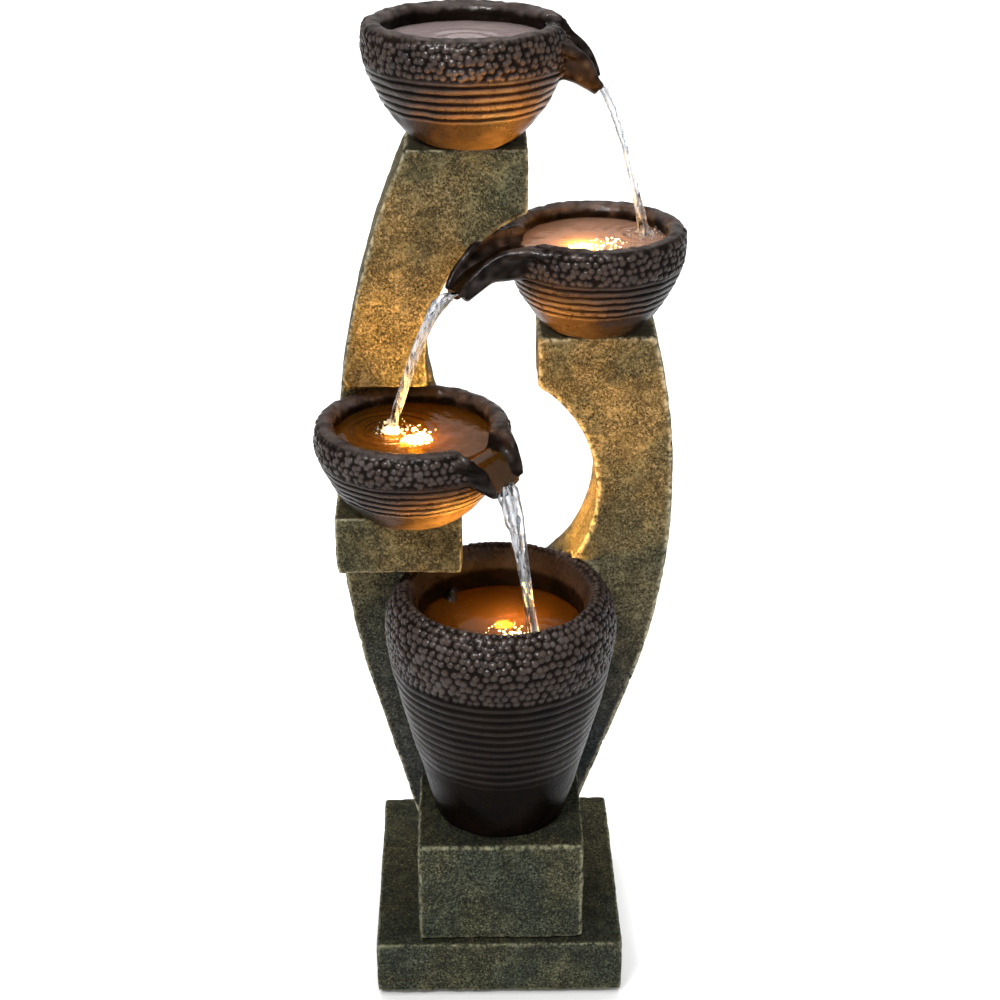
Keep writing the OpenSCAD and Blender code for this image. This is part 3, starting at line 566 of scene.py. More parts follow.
def glaze_material():
    """Dark brown reactive glaze with painted light: lighter and greyer on what stands up as a
    painted highlight, nearly black in hollows as painted shade.
    """
    s = Shader("hammered_glaze")
    # Painted light for each point: high on bump tops, ridge crests and the rim, low in hollows,
    # inside and low down
    painted_light = s.attribute("painted_glaze_light")
    cloud = s.noise(0.030, 4.0, 0.6)
    fine = s.noise(0.0022, 3.0, 0.6)
    low = s.ramp(cloud, [(0.30, (0.0010, 0.0008, 0.0007)), (0.70, (0.0042, 0.0024, 0.0016))])
    high = s.ramp(cloud, [(0.30, (0.018, 0.014, 0.014)), (0.52, (0.027, 0.018, 0.014)),
                          (0.75, (0.042, 0.036, 0.037))])
    colour = s.mix(s.level(painted_light, 0.12, 0.95), low, high)
    colour = s.mix(s.level(fine, 0.50, 0.70, 0.0, 0.55), colour, (0.0014, 0.0010, 0.0008))
    s.set(Base_Color=colour, Roughness=s.level(cloud, 0.3, 0.7, 0.22, 0.36))
    # Painted shade: the shine is turned down as well where the painted light is low
    s.set(Specular_IOR_Level=s.level(painted_light, 0.05, 0.9, 0.02, 0.16))
    s.bump(s.math("ADD", s.math("MULTIPLY", fine, 0.5), s.noise(0.0065, 3.0)), 0.0007, 0.8)
    return s.material


def plastic_material(name, colour, rough=0.42, grain_size=0.0012):
    s = Shader(name)
    s.bsdf.inputs["Specular IOR Level"].default_value = 0.3
    marks = s.noise(0.018, 3.0)
    tone = s.mix(s.level(marks, 0.35, 0.7), tuple(c * 0.75 for c in colour), colour)
    s.set(Base_Color=tone, Roughness=s.level(marks, 0.3, 0.7, rough - 0.08, rough + 0.1))
    s.bump(s.noise(grain_size, 2.0), 0.00012, 0.6)
    return s.material


def metal_material(name, colour):
    s = Shader(name)
    lines = s.noise(0.004, 4.0, 0.6, s.stretched((1, 1, 14)))
    s.set(Base_Color=s.mix(lines, tuple(c * 0.8 for c in colour), colour),
          Roughness=s.level(lines, 0.3, 0.7, 0.24, 0.42))
    s.bsdf.inputs["Metallic"].default_value = 1.0
    s.bump(lines, 0.00008, 0.5)
    return s.material


def board_material():
    s = Shader("light_board")
    s.set(Base_Color=s.mix(s.noise(0.002), (0.7, 0.68, 0.6), (0.9, 0.88, 0.8)))
    s.bsdf.inputs["Emission Color"].default_value = (*AMBER, 1)
    s.bsdf.inputs["Emission Strength"].default_value = 6.0
    return s.material


def lens_material():
    """Amber lens, lit from inside: brightest over the chips."""
    s = Shader("light_lens")
    glow = s.noise(0.006, 1.0)
    s.set(Base_Color=s.mix(glow, (1.0, 0.62, 0.22), (1.0, 0.78, 0.42)))
    s.bsdf.inputs["Roughness"].default_value = 0.25
    s.set(Emission_Color=s.mix(s.level(glow, 0.35, 0.65), (1.0, 0.58, 0.18), (1.0, 0.86, 0.55)))
    s.bsdf.inputs["Emission Strength"].default_value = 14.0
    return s.material


def water_material(name, painted_light_tint, clear, shine):
    """Water; where it isn't fully clear, part of it takes the tint, a painted colour that stands
    in for the light the water shows.
    """
    s = Shader(name)
    s.bsdf.inputs["Base Color"].default_value = (*painted_light_tint, 1)
    s.bsdf.inputs["Roughness"].default_value = 0.03
    s.bsdf.inputs["IOR"].default_value = WATER_IOR
    s.bsdf.inputs["Transmission Weight"].default_value = clear
    s.bsdf.inputs["Specular IOR Level"].default_value = shine
    s.bump(s.noise(0.007, 3.0, 0.5), 0.0007, 0.6)
    return s.material


def stream_material():
    """Falling water: clear ropes with white streaks of air."""
    s = Shader("falling_water")
    s.bsdf.inputs["Base Color"].default_value = (0.80, 0.82, 0.85, 1)
    s.bsdf.inputs["Roughness"].default_value = 0.04
    s.bsdf.inputs["IOR"].default_value = WATER_IOR
    streaks = s.noise(0.0035, 4.0, 0.6, s.stretched((1, 1, 0.12)))
    s.set(Transmission_Weight=s.level(streaks, 0.42, 0.66, 1.0, 0.50))
    s.bump(s.noise(0.005, 3.0, 0.5), 0.0006, 0.5)
    return s.material


def painted_glow_material():
    """Small bubbles with a painted glow: they give off light themselves, standing in for the light
    of the lamp under them.
    """
    s = Shader("painted_glow_bubbles")
    s.set(Base_Color=s.mix(s.noise(0.002), (1.0, 0.80, 0.50), (1.0, 0.92, 0.75)))
    s.bsdf.inputs["Roughness"].default_value = 0.1
    s.bsdf.inputs["Emission Color"].default_value = (1.0, 0.70, 0.30, 1)
    s.bsdf.inputs["Emission Strength"].default_value = 5.0
    return s.material


# ---------------------------------------------------------------- stone
def stone_piece(node, voxel, material, slot, seed):
    """Cast-stone copy of a CAD node: rounded, worn and chipped edges and an uneven face."""
    source = frame["nodes"][node]
    obj = bpy.data.objects.new("cast_" + node, source.data.copy())
    SCENE.collection.objects.link(obj)
    fix_normals(obj)
    remesh(obj, voxel)
    mesh = obj.data
    flat = coords(mesh)
    normal = vertex_normals(mesh)
    worn = relax(mesh, 9)
    lost = np.clip(np.einsum("ij,ij->i", flat - worn, normal), 0, None)
    edge = step(lost, 0.00008, 0.0007)
    chips = step(grain(flat, 0.011, seed), 0.45, 0.75) * edge
    uneven = (grain(flat, 0.020, seed + 3) - 0.5) * 0.0012
    rough = (grain(flat, 0.006, seed + 5) - 0.5) * 0.0007
    dents = step(grain(flat, 0.0085, seed + 7), 0.70, 0.86) * DENT_DEPTH
    inward = -chips * CHIP_DEPTH - dents - SKIN_LOSS
    set_coords(mesh, worn + normal * (uneven + rough + inward)[:, None])
    # Mask for the pale edges, which are partly wear and partly painted highlight
    set_attribute(mesh, "wear_and_edge_highlight", np.clip(edge * 0.9, 0, 1))
    return finish_piece(obj, material, slot, node)


# ---------------------------------------------------------------- bowls
def bowl_side(r, h):
    points = [(46, 0), (58, 10), (71, 25), (83, 45), (93, 67), (97.5, 85), (97, 101)]
    return smooth_line([(a / DRAWN_R * r, b / DRAWN_H * h) for a, b in points], 5)


def bowl_inner(r, h):
    """Inside of a bowl, from under the rim down to the floor."""
    k, m = r / DRAWN_R, h / DRAWN_H
    return smooth_line([(79 * k, 94 * m), (83 * k, 80 * m), (80 * k, 62 * m),
                        (70 * k, 42 * m), (56 * k, 24 * m), (40 * k, FLOOR_H)], 5)


def bowl_solid(name, r, h):
    """The whole bowl as one lump, with its rolled rim and no hollow."""
    rim = arc((DRAWN_RIM * r / DRAWN_R, h - RIM_TUBE), RIM_TUBE, 10, 90, 8)
    return revolve(name, [(0, 0), *bowl_side(r, h), *rim, (0, h)], 128)


def bowl_hollow(r, h):
    """What is cut out of the lump: the space inside, and the inner half of the rim."""
    rim = arc((DRAWN_RIM * r / DRAWN_R, h - RIM_TUBE), RIM_TUBE, 88, 180, 10)
    top = [(0, h + 0.03), (rim[0][0], h + 0.03)]
    return revolve("hollow", [*top, *rim, *bowl_inner(r, h), (0, FLOOR_H)], 128)


def stations(bowl):
    """Distances from the bowl's axis of the five places where its spout is given."""
    r, e = bowl["r"], bowl["reach"] - bowl["r"]
    return r - 0.030, r - 0.006, r + 0.28 * e, r + 0.78 * e, r + e


def lip_line(bowl, side, sink):
    """A lip of the spout, as points from the bowl to the tip, in the spout's own direction."""
    sign = 1 if side == "left" else -1
    return [(x, sign * (w * 0.001 - sink), bowl["h"] - d * 0.001 - sink)
            for x, (w, d) in zip(stations(bowl), bowl[side])]


def low_line(bowl):
    """Underside of the spout."""
    r, h, e = bowl["r"], bowl["h"], bowl["reach"] - bowl["r"]
    at = (r - 0.040, r - 0.019, r - 0.05 * e, r + 0.38 * e, r + 0.82 * e)
    return [(x, 0.0, h - d * 0.001) for x, d in zip(at, bowl["low"])]


def bed_line(bowl):
    """Floor of the spout's channel."""
    return [(x, 0.0, bowl["h"] - d * 0.001) for x, d in zip(stations(bowl), bowl["bed"])]


def spout_solid(bowl, spare, lift):
    """Trough for a bowl. With spare and lift it is the channel inside, open at the top."""
    left = smooth_line(lip_line(bowl, "left", 0), 6)
    right = smooth_line(lip_line(bowl, "right", 0), 6)
    low = smooth_line(bed_line(bowl) if lift else low_line(bowl), 6)
    if lift:
        left, right, low = [np.concatenate([p, [p[-1] + (p[-1] - p[-2]) * 3]])
                            for p in (left, right, low)]
    angle = np.radians(np.linspace(0, 180, 17))
    across, down = np.cos(angle), np.sin(angle) ** 0.8
    across = np.sign(across) * np.abs(across) ** 0.75
    rings = []
    for a, b, c in zip(left, right, low):
        a, b, c = a.copy(), b.copy(), c.copy()
        a[1], b[1] = a[1] - spare, b[1] + spare
        c[1] = (a[1] + b[1]) / 2
        middle = (a + b) / 2
        half = (a - b) / 2
        ring = [middle + half * t + (c - middle) * d for t, d in zip(across, down)]
        if lift:
            ring += [b + (0, -0.002, lift), a + (0, 0.002, lift)]
        rings.append(np.array(ring))
    return stack_object("spout", rings)


def run_piece(node, pool_name, material):
    """Sheet of water that runs from the edge of the bowl's water down its spout's channel."""
    bowl = BOWLS[node]
    _, _, level, edge, _ = POOLS[pool_name]
    pool = level - bowl["foot"] + 0.0003
    left = smooth_line(lip_line(bowl, "left", 0), 8)
    right = smooth_line(lip_line(bowl, "right", 0), 8)
    bed = smooth_line(bed_line(bowl), 8)
    across = np.linspace(1, -1, 9)
    deep = np.linspace(0.0065, 0.0024, len(bed))
    lip = np.minimum(left[:, 2], right[:, 2])
    level = np.minimum(pool, bed[:, 2] + np.minimum(deep, 0.6 * np.abs(lip - bed[:, 2])))
    level = np.convolve(np.pad(level, 4, "edge"), np.ones(9) / 9, "valid")
    rings = []
    for a, b, c, surface in zip(left, right, bed, level):
        if c[0] < edge - 0.0015:
            continue
        y = (a[1] + b[1]) / 2 + (a[1] - b[1]) / 2 * 0.78 * across
        top = np.stack([np.full(9, c[0]), y, np.full(9, surface)], 1)
        under = top.copy()
        under[:, 2] = np.minimum(c[2] - 0.001 + 0.0035 * across ** 2, surface - 0.0004)
        rings.append(np.concatenate([top, under[::-1]]))
    obj = stack_object(node.replace("bowl", "run"), rings)
    place_bowl(obj, bowl)
    return finish_piece(obj, material)


def tube_object(name, path, radii):
    """Round bar along a path."""
    rings = []
    for i, p in enumerate(path):
        ahead = Vector(path[min(i + 1, len(path) - 1)] - path[max(i - 1, 0)]).normalized()
        side = ahead.cross(Vector((0, 0, 1))).normalized()
        up = side.cross(ahead)
        side, up = np.array(side), np.array(up)
        rings.append(np.array([p + radii[i] * (math.cos(a) * side + math.sin(a) * up)
                               for a in np.linspace(0, 2 * math.pi, 16, endpoint=False)]))
    return stack_object(name, rings)


def lip_roll(bowl, side):
    """Thick rounded lip that leaves the rolled rim and runs out along the spout's edge."""
    r, h = bowl["r"], bowl["h"]
    ring = DRAWN_RIM / DRAWN_R * r
    sign = 1 if side == "left" else -1
    start = math.degrees(math.asin(bowl[side][0][0] * 0.001 / ring)) + 14
    rim = [(ring * math.cos(math.radians(a)), sign * ring * math.sin(math.radians(a)),
            h - RIM_TUBE)
           for a in (start + 26, start + 12, start)]
    lip = lip_line(bowl, side, 0.0030)
    path = smooth_line(rim + lip[2:], 6)
    radii = np.interp(np.linspace(0, 1, len(path)), [0, 0.35, 0.7, 1],
                      [0.0092, 0.0072, 0.0042, 0.0032])
    return tube_object("lip", path, radii)


def merge(obj, other):
    bm = bmesh.new()
    bm.from_mesh(obj.data)
    bm.from_mesh(other.data)
    bm.to_mesh(obj.data)
    bm.free()
    bpy.data.objects.remove(other)


def place_bowl(obj, bowl):
    """Turns a piece made round the axis to the bowl's own direction and moves it there."""
    turn = math.radians(bowl["turn"])
    co = coords(obj.data)
    x, y = co[:, 0], co[:, 1]
    out = np.stack([x * math.cos(turn) - y * math.sin(turn) + bowl["centre"][0],
                    x * math.sin(turn) + y * math.cos(turn) + bowl["centre"][1],
                    co[:, 2] + bowl["foot"]], 1)
    set_coords(obj.data, out)


def hammer_and_ridges(across, along, height, h, seed):
    """Relief of a thrown bowl of height h: (height in metres, painted light from 0 to 1, high on
    bump tops and ridge crests and low in the hollows).

    across and along are arc lengths round and up the side.
    """
    ridge_low, ridge_high, bump_high, ridges = 0.29 * h, 0.655 * h, 0.985 * h, 5
    bumps = domes(across / BOWL_PITCH, along / BOWL_PITCH, seed, 0.30)
    in_bumps = step(height, ridge_high, ridge_high + 0.004) * (
        1 - step(height, bump_high - 0.006, bump_high + 0.002))
    wave = np.abs(np.cos(math.pi * (height - ridge_low) / (ridge_high - ridge_low) * ridges))
    in_ridges = step(height, ridge_low - 0.002, ridge_low + 0.002) * (
        1 - step(height, ridge_high - 0.001, ridge_high + 0.001))
    shape = 1 - (1 - wave) ** 2
    relief = (in_bumps * (bumps * BOWL_BUMPS[0] - BOWL_BUMPS[1])
              + in_ridges * (shape * BOWL_RIDGES[0] - BOWL_RIDGES[1]))
    # Painted highlight on bump tops and ridge crests, painted shade in the hollows between them
    look = in_bumps * (0.20 + 0.74 * bumps ** 2.0) + in_ridges * (0.04 + 0.62 * shape ** 4)
    plain = (1 - in_bumps) * (1 - in_ridges)
    return relief, look + plain * 0.30


def bowl_blank(node, bowl):
    """The bowl with its spout and lips, smooth and still on its own axis."""
    obj = bowl_solid("glazed_" + node, bowl["r"], bowl["h"])
    cut_or_join(obj, spout_solid(bowl, 0.0, 0.0), "UNION")
    cut_or_join(obj, bowl_hollow(bowl["r"], bowl["h"]), "DIFFERENCE")
    cut_or_join(obj, spout_solid(bowl, SPOUT_WALL, 0.030), "DIFFERENCE")
    if node == "bowl_top":
        rod = [(0, -0.01), (FLOOR_HOLE, -0.01), (FLOOR_HOLE, 0.03), (0, 0.03)]
        cut_or_join(obj, revolve("rod", rod, 32), "DIFFERENCE")
    merge(obj, lip_roll(bowl, "left"))
    merge(obj, lip_roll(bowl, "right"))
    remesh(obj, BOWL_VOXEL)
    set_coords(obj.data, relax(obj.data, 8))
    return obj


def outer_skin(co, normal, radius, bowl):
    """1 on the bowl's own outside, 0 on the spout, the rim and the inside."""
    outward = (normal[:, 0] * co[:, 0] + normal[:, 1] * co[:, 1]) / np.maximum(radius, 1e-5)
    side = bowl_side(bowl["r"], bowl["h"])
    skin = np.interp(co[:, 2], side[:, 1], side[:, 0])
    outer = step(radius, skin - 0.005, skin - 0.003) * step(outward, 0.05, 0.35)
    return outer * (1 - step(radius, skin + 0.0012, skin + 0.0035))


def bowl_piece(node, bowl, material, seed):
    """A glazed bowl: bumps and ridges outside, a dimpled rim, and lumps all over."""
    r, h = bowl["r"], bowl["h"]
    obj = bowl_blank(node, bowl)
    co = coords(obj.data)
    normal = vertex_normals(obj.data)
    radius = np.hypot(co[:, 0], co[:, 1])
    angle = np.arctan2(co[:, 1], co[:, 0])
    outer = outer_skin(co, normal, radius, bowl)
    relief, look = hammer_and_ridges(angle * r, co[:, 2] * 1.08, co[:, 2], h, seed)
    lumps = (grain(co, 0.013, seed + 9) - 0.5) * BOWL_LUMPS
    rim = step(co[:, 2], h - 0.012, h - 0.003)
    dimples = (grain(co, 0.0058, seed + 13) - 0.5) * 0.0015 * rim
    set_coords(obj.data, co + normal * (relief * outer + lumps + dimples)[:, None])
    # Painted light off the bumps and ridges: the rim is painted lightest, the spout less, the
    # inside darkest; the mottle is random tone
    spout = step(radius, r - 0.006, r + 0.002)
    mottle = 0.55 * (grain(co, 0.007, seed + 11) - 0.5)
    plain = 0.08 + np.maximum(0.60 * rim, 0.24 * spout) + mottle
    set_attribute(obj.data, "painted_glaze_light", look * outer + plain * (1 - outer))
    place_bowl(obj, bowl)
    return finish_piece(obj, material, "glaze", node)


# ---------------------------------------------------------------- pot
def pot_profile():
    """Outside, crest and inside of the pot, from the foot round to the floor."""
    side = smooth_line([(69, 0), (77, 30), (88, 75), (102, 128), (112, 173), (116.5, 212),
                        (114.5, 234), (108, 249)], 16)
    lip = smooth_line([(108, 249), (99, 257), (91, 252), (86, 241), (84, 226), (85, 214),
                       (92, 207)], 9)
    inside = smooth_line([(92, 207), (101, 196), (102, 175), (93, 128), (79, 75), (68, 30),
                          (58, 12)], 5)
    return np.concatenate([side, lip[1:], inside[1:]]) * 0.001


def pot_relief(line, s, t, z, seed):
    """The pot's bumps and ridges: (height in metres, painted light from 0 to 1).

    s is the distance along the profile, t the angle and z the height of each point.
    """
    low, high, ridges = POT_RIDGE_BAND
    length = s[:, 0]
    lip_end = length[np.argmin(np.abs(line[:, 1] - 0.243) + 10 * (line[:, 0] > 0.09))]
    start = length[np.argmax(line[:, 1] > POT_BUMPS_FROM)]
    bumps = domes((t * 0.110 / POT_PITCH).ravel(), (s / POT_PITCH).ravel(), seed)
    bumps = bumps.reshape(s.shape)
    in_bumps = step(s, start, start + 0.006) * (1 - step(s, lip_end - 0.022, lip_end - 0.006))
    wave = np.abs(np.cos(math.pi * (z - low) / (high - low) * ridges))
    shape = 1 - (1 - wave) ** 2
    in_ridges = step(z, low - 0.002, low + 0.003) * (1 - step(s, start - 0.002, start + 0.001))
    relief = (in_bumps * (bumps * POT_BUMPS[0] - POT_BUMPS[1])
              + in_ridges * (shape * POT_RIDGES[0] - POT_RIDGES[1]))
    # Painted highlight on bump tops and ridge crests, painted shade in the hollows
    look = in_bumps * (0.20 + 0.78 * bumps ** 2.0) + in_ridges * (0.02 + 0.42 * shape ** 5)
    # Painted light elsewhere: the crest of the rim is painted light; the inside below it and
    # everything below 0.2 m are painted shade
    inside = step(s, lip_end + 0.006, lip_end + 0.014)
    look += (1 - in_bumps) * (1 - in_ridges) * np.where(z > 0.2, 0.50 - 0.42 * inside, 0.04)
    return relief, look


def pot_shell(r, t, z):
    """Mesh of the pot's grid of points, closed at the foot and at the floor inside."""
    rows, around = r.shape
    verts = np.stack([r * np.cos(t) + POT_CENTRE[0], r * np.sin(t) + POT_CENTRE[1],
                      z + POT_FOOT], 2).reshape(-1, 3)
    n = len(verts)
    verts = np.concatenate([verts, [[*POT_CENTRE, POT_FOOT], [*POT_CENTRE, POT_FOOT + FLOOR_H]]])
    top = (rows - 1) * around
    faces = ring_faces(rows, around)
    faces += [(n, (k + 1) % around, k) for k in range(around)]
    faces += [(n + 1, top + k, top + (k + 1) % around) for k in range(around)]
    obj = mesh_object("glazed_pot", verts, faces)
    fix_normals(obj)
    return obj


def pot_piece(material, seed):
    """The pot as a fine grid of revolution, so that every bump and ridge is real."""
    line = pot_profile()
    length = np.concatenate([[0], np.cumsum(np.hypot(*np.diff(line, axis=0).T))])
    a = np.linspace(0, 2 * math.pi, POT_AROUND, endpoint=False)
    r, t = np.meshgrid(line[:, 0], a, indexing="ij")
    z = np.repeat(line[:, 1][:, None], POT_AROUND, 1)
    s = np.repeat(length[:, None], POT_AROUND, 1)
    relief, look = pot_relief(line, s, t, z, seed)
    place = np.stack([r * np.cos(t), r * np.sin(t), z], 2).reshape(-1, 3)
    relief += ((grain(place, 0.022, seed + 4) - 0.5) * POT_LUMPS).reshape(r.shape)
    tangent = np.gradient(line, axis=0)
    tangent /= np.linalg.norm(tangent, axis=1)[:, None]
    r, z = r + tangent[:, 1][:, None] * relief, z - tangent[:, 0][:, None] * relief
    z[0] = 0.0
    obj = pot_shell(r, t, z)
    values = np.append(look.ravel(), [0.2, 0.2])
    set_attribute(obj.data, "painted_glaze_light", values[:len(obj.data.vertices)])
    return finish_piece(obj, material, "glaze", "pot")


# ---------------------------------------------------------------- water
def water_disc(name, material):
    """Thin body of water with rings running out from where a stream lands."""
    around, rings = 120, 46
    _, centre, level, radius, (x, y, height, length, spread) = POOLS[name]
    verts = []
    for i in range(rings):
        rr = radius * (i + 0.5) / (rings - 0.5)
        for k in range(around):
            a = 2 * math.pi * k / around
            verts.append((centre[0] + rr * math.cos(a), centre[1] + rr * math.sin(a), level))
    top = np.array(verts)
    d = np.hypot(top[:, 0] - x, top[:, 1] - y)
    top[:, 2] += height * np.cos(2 * math.pi * d / length) * np.exp(-d / spread)
    top[:, 2] += (grain(top * [1, 1, 0], 0.014, 31) - 0.5) * 0.0008
    bottom = top.copy()
    bottom[:, 2] = level - POOL_DEPTH
    n = len(top)
    quads = ring_faces(rings, around)
    faces = quads + [tuple(n + v for v in reversed(q)) for q in quads]
    edge = (rings - 1) * around
    for k in range(around):
        m = (k + 1) % around
        faces.append((edge + k, edge + m, n + edge + m, n + edge + k))
    faces.append(tuple(range(around)))
    faces.append(tuple(n + k for k in reversed(range(around))))
    obj = mesh_object(name, np.concatenate([top, bottom]), faces)
    fix_normals(obj)
    return finish_piece(obj, material)


def falling(start, end, steps):
    """Path of falling water: leaves along the spout, then drops ever more steeply."""
    start, end = np.array(start), np.array(end)
    t = np.linspace(0, 1, steps)[:, None]
    path = start + (end - start) * t
    path[:, :2] = start[:2] + (end[:2] - start[:2]) * (t ** STREAM_SAG)
    return path


def strand(path, width, thick, seed):
    """One rope of water: an oval tube whose section swells, narrows and turns as it falls."""
    around = 14
    n = len(path)
    s = np.linspace(0, 1, n)
    a = np.linspace(0, 2 * math.pi, around, endpoint=False)
    rings = []
    for i, p in enumerate(path):
        probe = np.array([[0.013 * s[i] * n / 20, seed * 1.7, 0.0]])
        swell = 0.72 + 0.56 * grain(probe, 0.0016, seed)[0]
        turn = STREAM_TWIST * s[i] + 0.8 * grain(probe, 0.006, seed + 1)[0]
        w, d = width[i] * swell, thick[i] * (1.5 - 0.5 * swell)
        x, y = w * np.cos(a), d * np.sin(a)
        rings.append(np.stack([p[0] + x * math.cos(turn) - y * math.sin(turn),
                               p[1] + x * math.sin(turn) + y * math.cos(turn),
                               np.full(around, p[2])], 1))
    return rings


def stream_piece(name, material):
    """A stream from a spout: several strands side by side that run together."""
    start, end, widths, strands, seed = STREAMS[name]
    steps = 90
    path = falling(start, end, steps)
    s = np.linspace(0, 1, steps)
    wide = np.interp(s, [0, 0.25, 0.6, 1], widths)
    verts, faces = [], []
    count = 0
    for k in range(strands):
        off = (k - (strands - 1) / 2) / strands
        drift = np.array([math.sin(seed + k), 0.4 * math.cos(seed + k), 0])
        centre = path + np.outer(wide * off * 1.5, [0.9, 0.25, 0]) + np.outer(
            np.sin(s * (5 + k) + seed + k) * wide * 0.25, drift)
        rings = strand(centre, wide * (0.75 - 0.1 * k), wide * 0.42, seed + 5 * k)
        n = len(rings[0])
        faces += [tuple(count + v for v in f) for f in ring_faces(len(rings), n)]
        faces += [tuple(count + v for v in range(n)),
                  tuple(count + (len(rings) - 1) * n + v for v in range(n))]
        verts.append(np.concatenate(rings))
        count += len(verts[-1])
    obj = mesh_object(name, np.concatenate(verts), faces)
    fix_normals(obj)
    return finish_piece(obj, material)


def splash_piece(name, material):
    """Drops and small crowns where a stream lands; flat below 1 flattens them into lenses, which
    carry the painted glow over the lights.
    """
    centre, radius, count, height, seed, flat = SPLASHES[name]
    rng = np.random.default_rng(seed)
    bm = bmesh.new()
    for _ in range(count):
        a, d = rng.uniform(0, 2 * math.pi), radius * math.sqrt(rng.uniform(0, 1))
        up = height * rng.uniform(0, 1) ** 2 * (1 - 0.6 * d / radius)
        size = rng.uniform(0.0006, 0.0022) * (1.3 - 0.9 * d / radius)
        spot = Vector((centre[0] + d * math.cos(a), centre[1] + d * math.sin(a),
                       centre[2] + up))
        made = bmesh.ops.create_icosphere(bm, subdivisions=2, radius=size)
        stretch = rng.uniform(0.8, 1.5) * flat
        for v in made["verts"]:
            v.co = Vector((v.co.x, v.co.y, v.co.z * stretch)) + spot
    mesh = bpy.data.meshes.new(name)
    bm.to_mesh(mesh)
    bm.free()
    obj = bpy.data.objects.new(name, mesh)
    SCENE.collection.objects.link(obj)
    return finish_piece(obj, material)


# ---------------------------------------------------------------- scene
def add_camera():
    data = bpy.data.cameras.new("camera")
    data.lens = CAMERA_LENS
    data.sensor_width = 36
    cam = bpy.data.objects.new("camera", data)
    cam.location = CAMERA_PLACE
    cam.rotation_euler = (math.radians(90 - CAMERA_PITCH), 0, math.radians(-CAMERA_TURN))
    SCENE.collection.objects.link(cam)
    SCENE.camera = cam


def only_on(lamp, receivers):
    """The lamp lights these objects alone."""
    group = bpy.data.collections.new("lit_by_" + lamp.name)
    for obj in receivers:
        group.objects.link(obj)
    lamp.light_linking.receiver_collection = group


def add_lamp(name, kind, place, power, target=None, glossy=True):
    """A lamp that the camera doesn't see; with a target it points there."""
    data = bpy.data.lights.new(name, kind)
    data.energy = power
    lamp = bpy.data.objects.new(name, data)
    lamp.location = place
    if target is not None:
        lamp.rotation_euler = (Vector(target) - Vector(place)).to_track_quat("-Z", "Y").to_euler()
    lamp.visible_camera = False
    lamp.visible_glossy = glossy
    SCENE.collection.objects.link(lamp)
    return lamp


def add_area(name):
    place, target, size, power = AREAS[name]
    lamp = add_lamp(name, "AREA", place, power, target, glossy=name != "backdrop")
    lamp.data.shape = "DISK"
    lamp.data.size = size
    return lamp


def add_glow(name):
    place, power = GLOWS[name]
    lamp = add_lamp(name, "POINT", place, power, glossy=False)
    lamp.data.color = AMBER
    lamp.data.shadow_soft_size = GLOW_SIZE


def add_throw(name, pieces):
    place, target, cone, power, reaches = THROWS[name]
    lamp = add_lamp(name, "SPOT", place, power, target, glossy=False)
    lamp.data.color = AMBER
    lamp.data.spot_size = math.radians(cone)
    lamp.data.spot_blend = 1.0
    lamp.data.shadow_soft_size = THROW_SIZE
    only_on(lamp, pieces[reaches])


def add_studio():
    world = bpy.data.worlds.new("studio")
    world.use_nodes = True
    back = world.node_tree.nodes["Background"]
    back.inputs["Color"].default_value = (1, 1, 1, 1)
    back.inputs["Strength"].default_value = WORLD_LIGHT
    SCENE.world = world
    SCENE.view_settings.view_transform = "Standard"
    floor = mesh_object("floor", [(-6, -6, 0), (6, -6, 0), (6, 6, 0), (-6, 6, 0)], [(0, 1, 2, 3)])
    s = Shader("pale_floor")
    s.set(Base_Color=s.mix(s.noise(0.4), (0.93, 0.93, 0.93), (0.96, 0.96, 0.96)))
    s.bsdf.inputs["Roughness"].default_value = 0.8
    s.bsdf.inputs["Specular IOR Level"].default_value = 0.0
    floor.data.materials.append(s.material)
    for name in ("overhead", "backdrop", "key", "fill"):
        add_area(name)


def add_glows():
    """Each light's own glow in its water, then what it throws on the glaze and stone above."""
    glaze = [o for o in SCENE.objects if o.name.startswith("glazed_")]
    stone = [o for o in SCENE.objects if o.name.startswith("cast_")]
    pieces = {"glaze": glaze, "stone": stone,
              "bracket": [o for o in stone if "bracket" in o.name],
              "not_bracket": [o for o in stone if "bracket" not in o.name]}
    for name in GLOWS:
        add_glow(name)
    only_on(add_area("glaze_key"), glaze)
    for name in THROWS:
        add_throw(name, pieces)


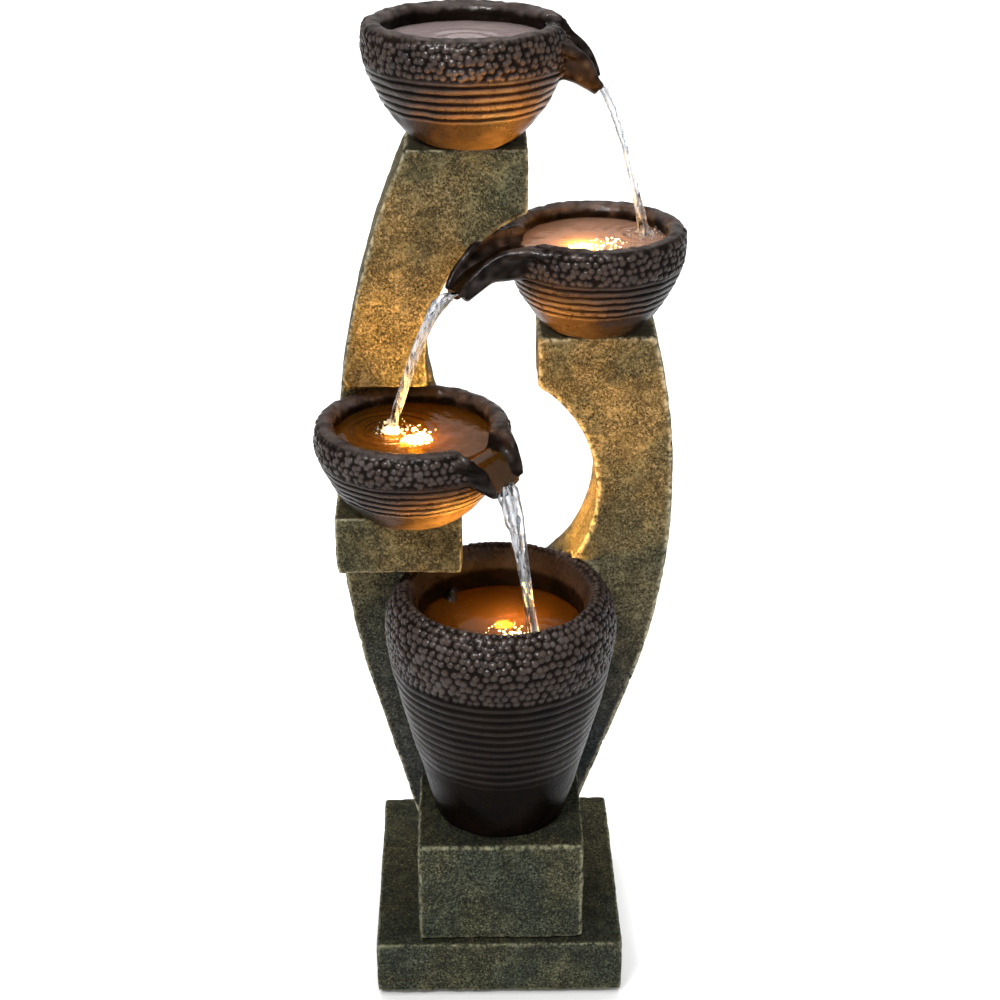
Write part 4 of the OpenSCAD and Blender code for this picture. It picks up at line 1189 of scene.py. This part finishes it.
def paint_nodes():
    """Materials for the CAD nodes that stay."""
    black = plastic_material("black_plastic", (0.005, 0.005, 0.006), 0.25)
    grey = plastic_material("knob_plastic", (0.026, 0.026, 0.028), 0.25)
    rotor = plastic_material("rotor_plastic", (0.22, 0.22, 0.23), 0.3)
    white = plastic_material("shaft_ceramic", (0.82, 0.82, 0.80), 0.2)
    rubber = plastic_material("black_rubber", (0.016, 0.016, 0.016), 0.72, 0.0008)
    steel = metal_material("screw_steel", (0.62, 0.62, 0.61))
    looks = {"dark_plastic": black, "knob_plastic": grey, "rotor_plastic": rotor,
             "shaft_ceramic": white, "black_rubber": rubber, "screw_steel": steel,
             "light_lens": lens_material(), "light_board": board_material()}
    slots = {p["node"]: p["material_slot"] for p in frame["record"]["subparts"]}
    for name, obj in frame["nodes"].items():
        look = looks.get(slots[name])
        if look is None:
            continue
        obj.data.materials.clear()
        obj.data.materials.append(look)


def add_stone():
    looks = {
        "cast_stone": stone_material("cast_stone", (0.40, 0.32, 0.150), (0.195, 0.153, 0.067),
                                     (0.040, 0.032, 0.014), (0.34, 0.44, 0.86),
                                     (0.62, 0.56, 0.36), (0.22, 0.50)),
        "base_stone": stone_material("base_stone", (0.250, 0.240, 0.130), (0.066, 0.066, 0.036),
                                     (0.005, 0.005, 0.003), (0.8, 0.8, 0.8),
                                     (0.34, 0.33, 0.20), (-0.2, 0.02))}
    for seed, (node, (voxel, look, slot)) in enumerate(STONE_NODES.items()):
        stone_piece(node, voxel, looks[look], slot, 20 + 13 * seed)
    for name in ("left_rear_cover", "right_rear_cover"):
        frame["nodes"][name].data.materials.clear()
        frame["nodes"][name].data.materials.append(looks["cast_stone"])


def add_glaze():
    glaze = glaze_material()
    for seed, (node, bowl) in enumerate(BOWLS.items()):
        bowl_piece(node, bowl, glaze, 101 + 17 * seed)
    pot_piece(glaze, 211)


def add_water():
    looks = {name: water_material(name, *values) for name, values in WATERS.items()}
    falling_water = stream_material()
    bubbles = painted_glow_material()
    for name, values in POOLS.items():
        water_disc(name, looks[values[0]])
    for name in STREAMS:
        stream_piece(name, falling_water)
    for node, pool, look in RUNS:
        run_piece(node, pool, looks[look])
    for name in SPLASHES:
        splash_piece(name, falling_water if name.startswith("splash") else bubbles)


add_camera()
add_studio()
paint_nodes()
add_stone()
add_glaze()
add_water()
add_glows()
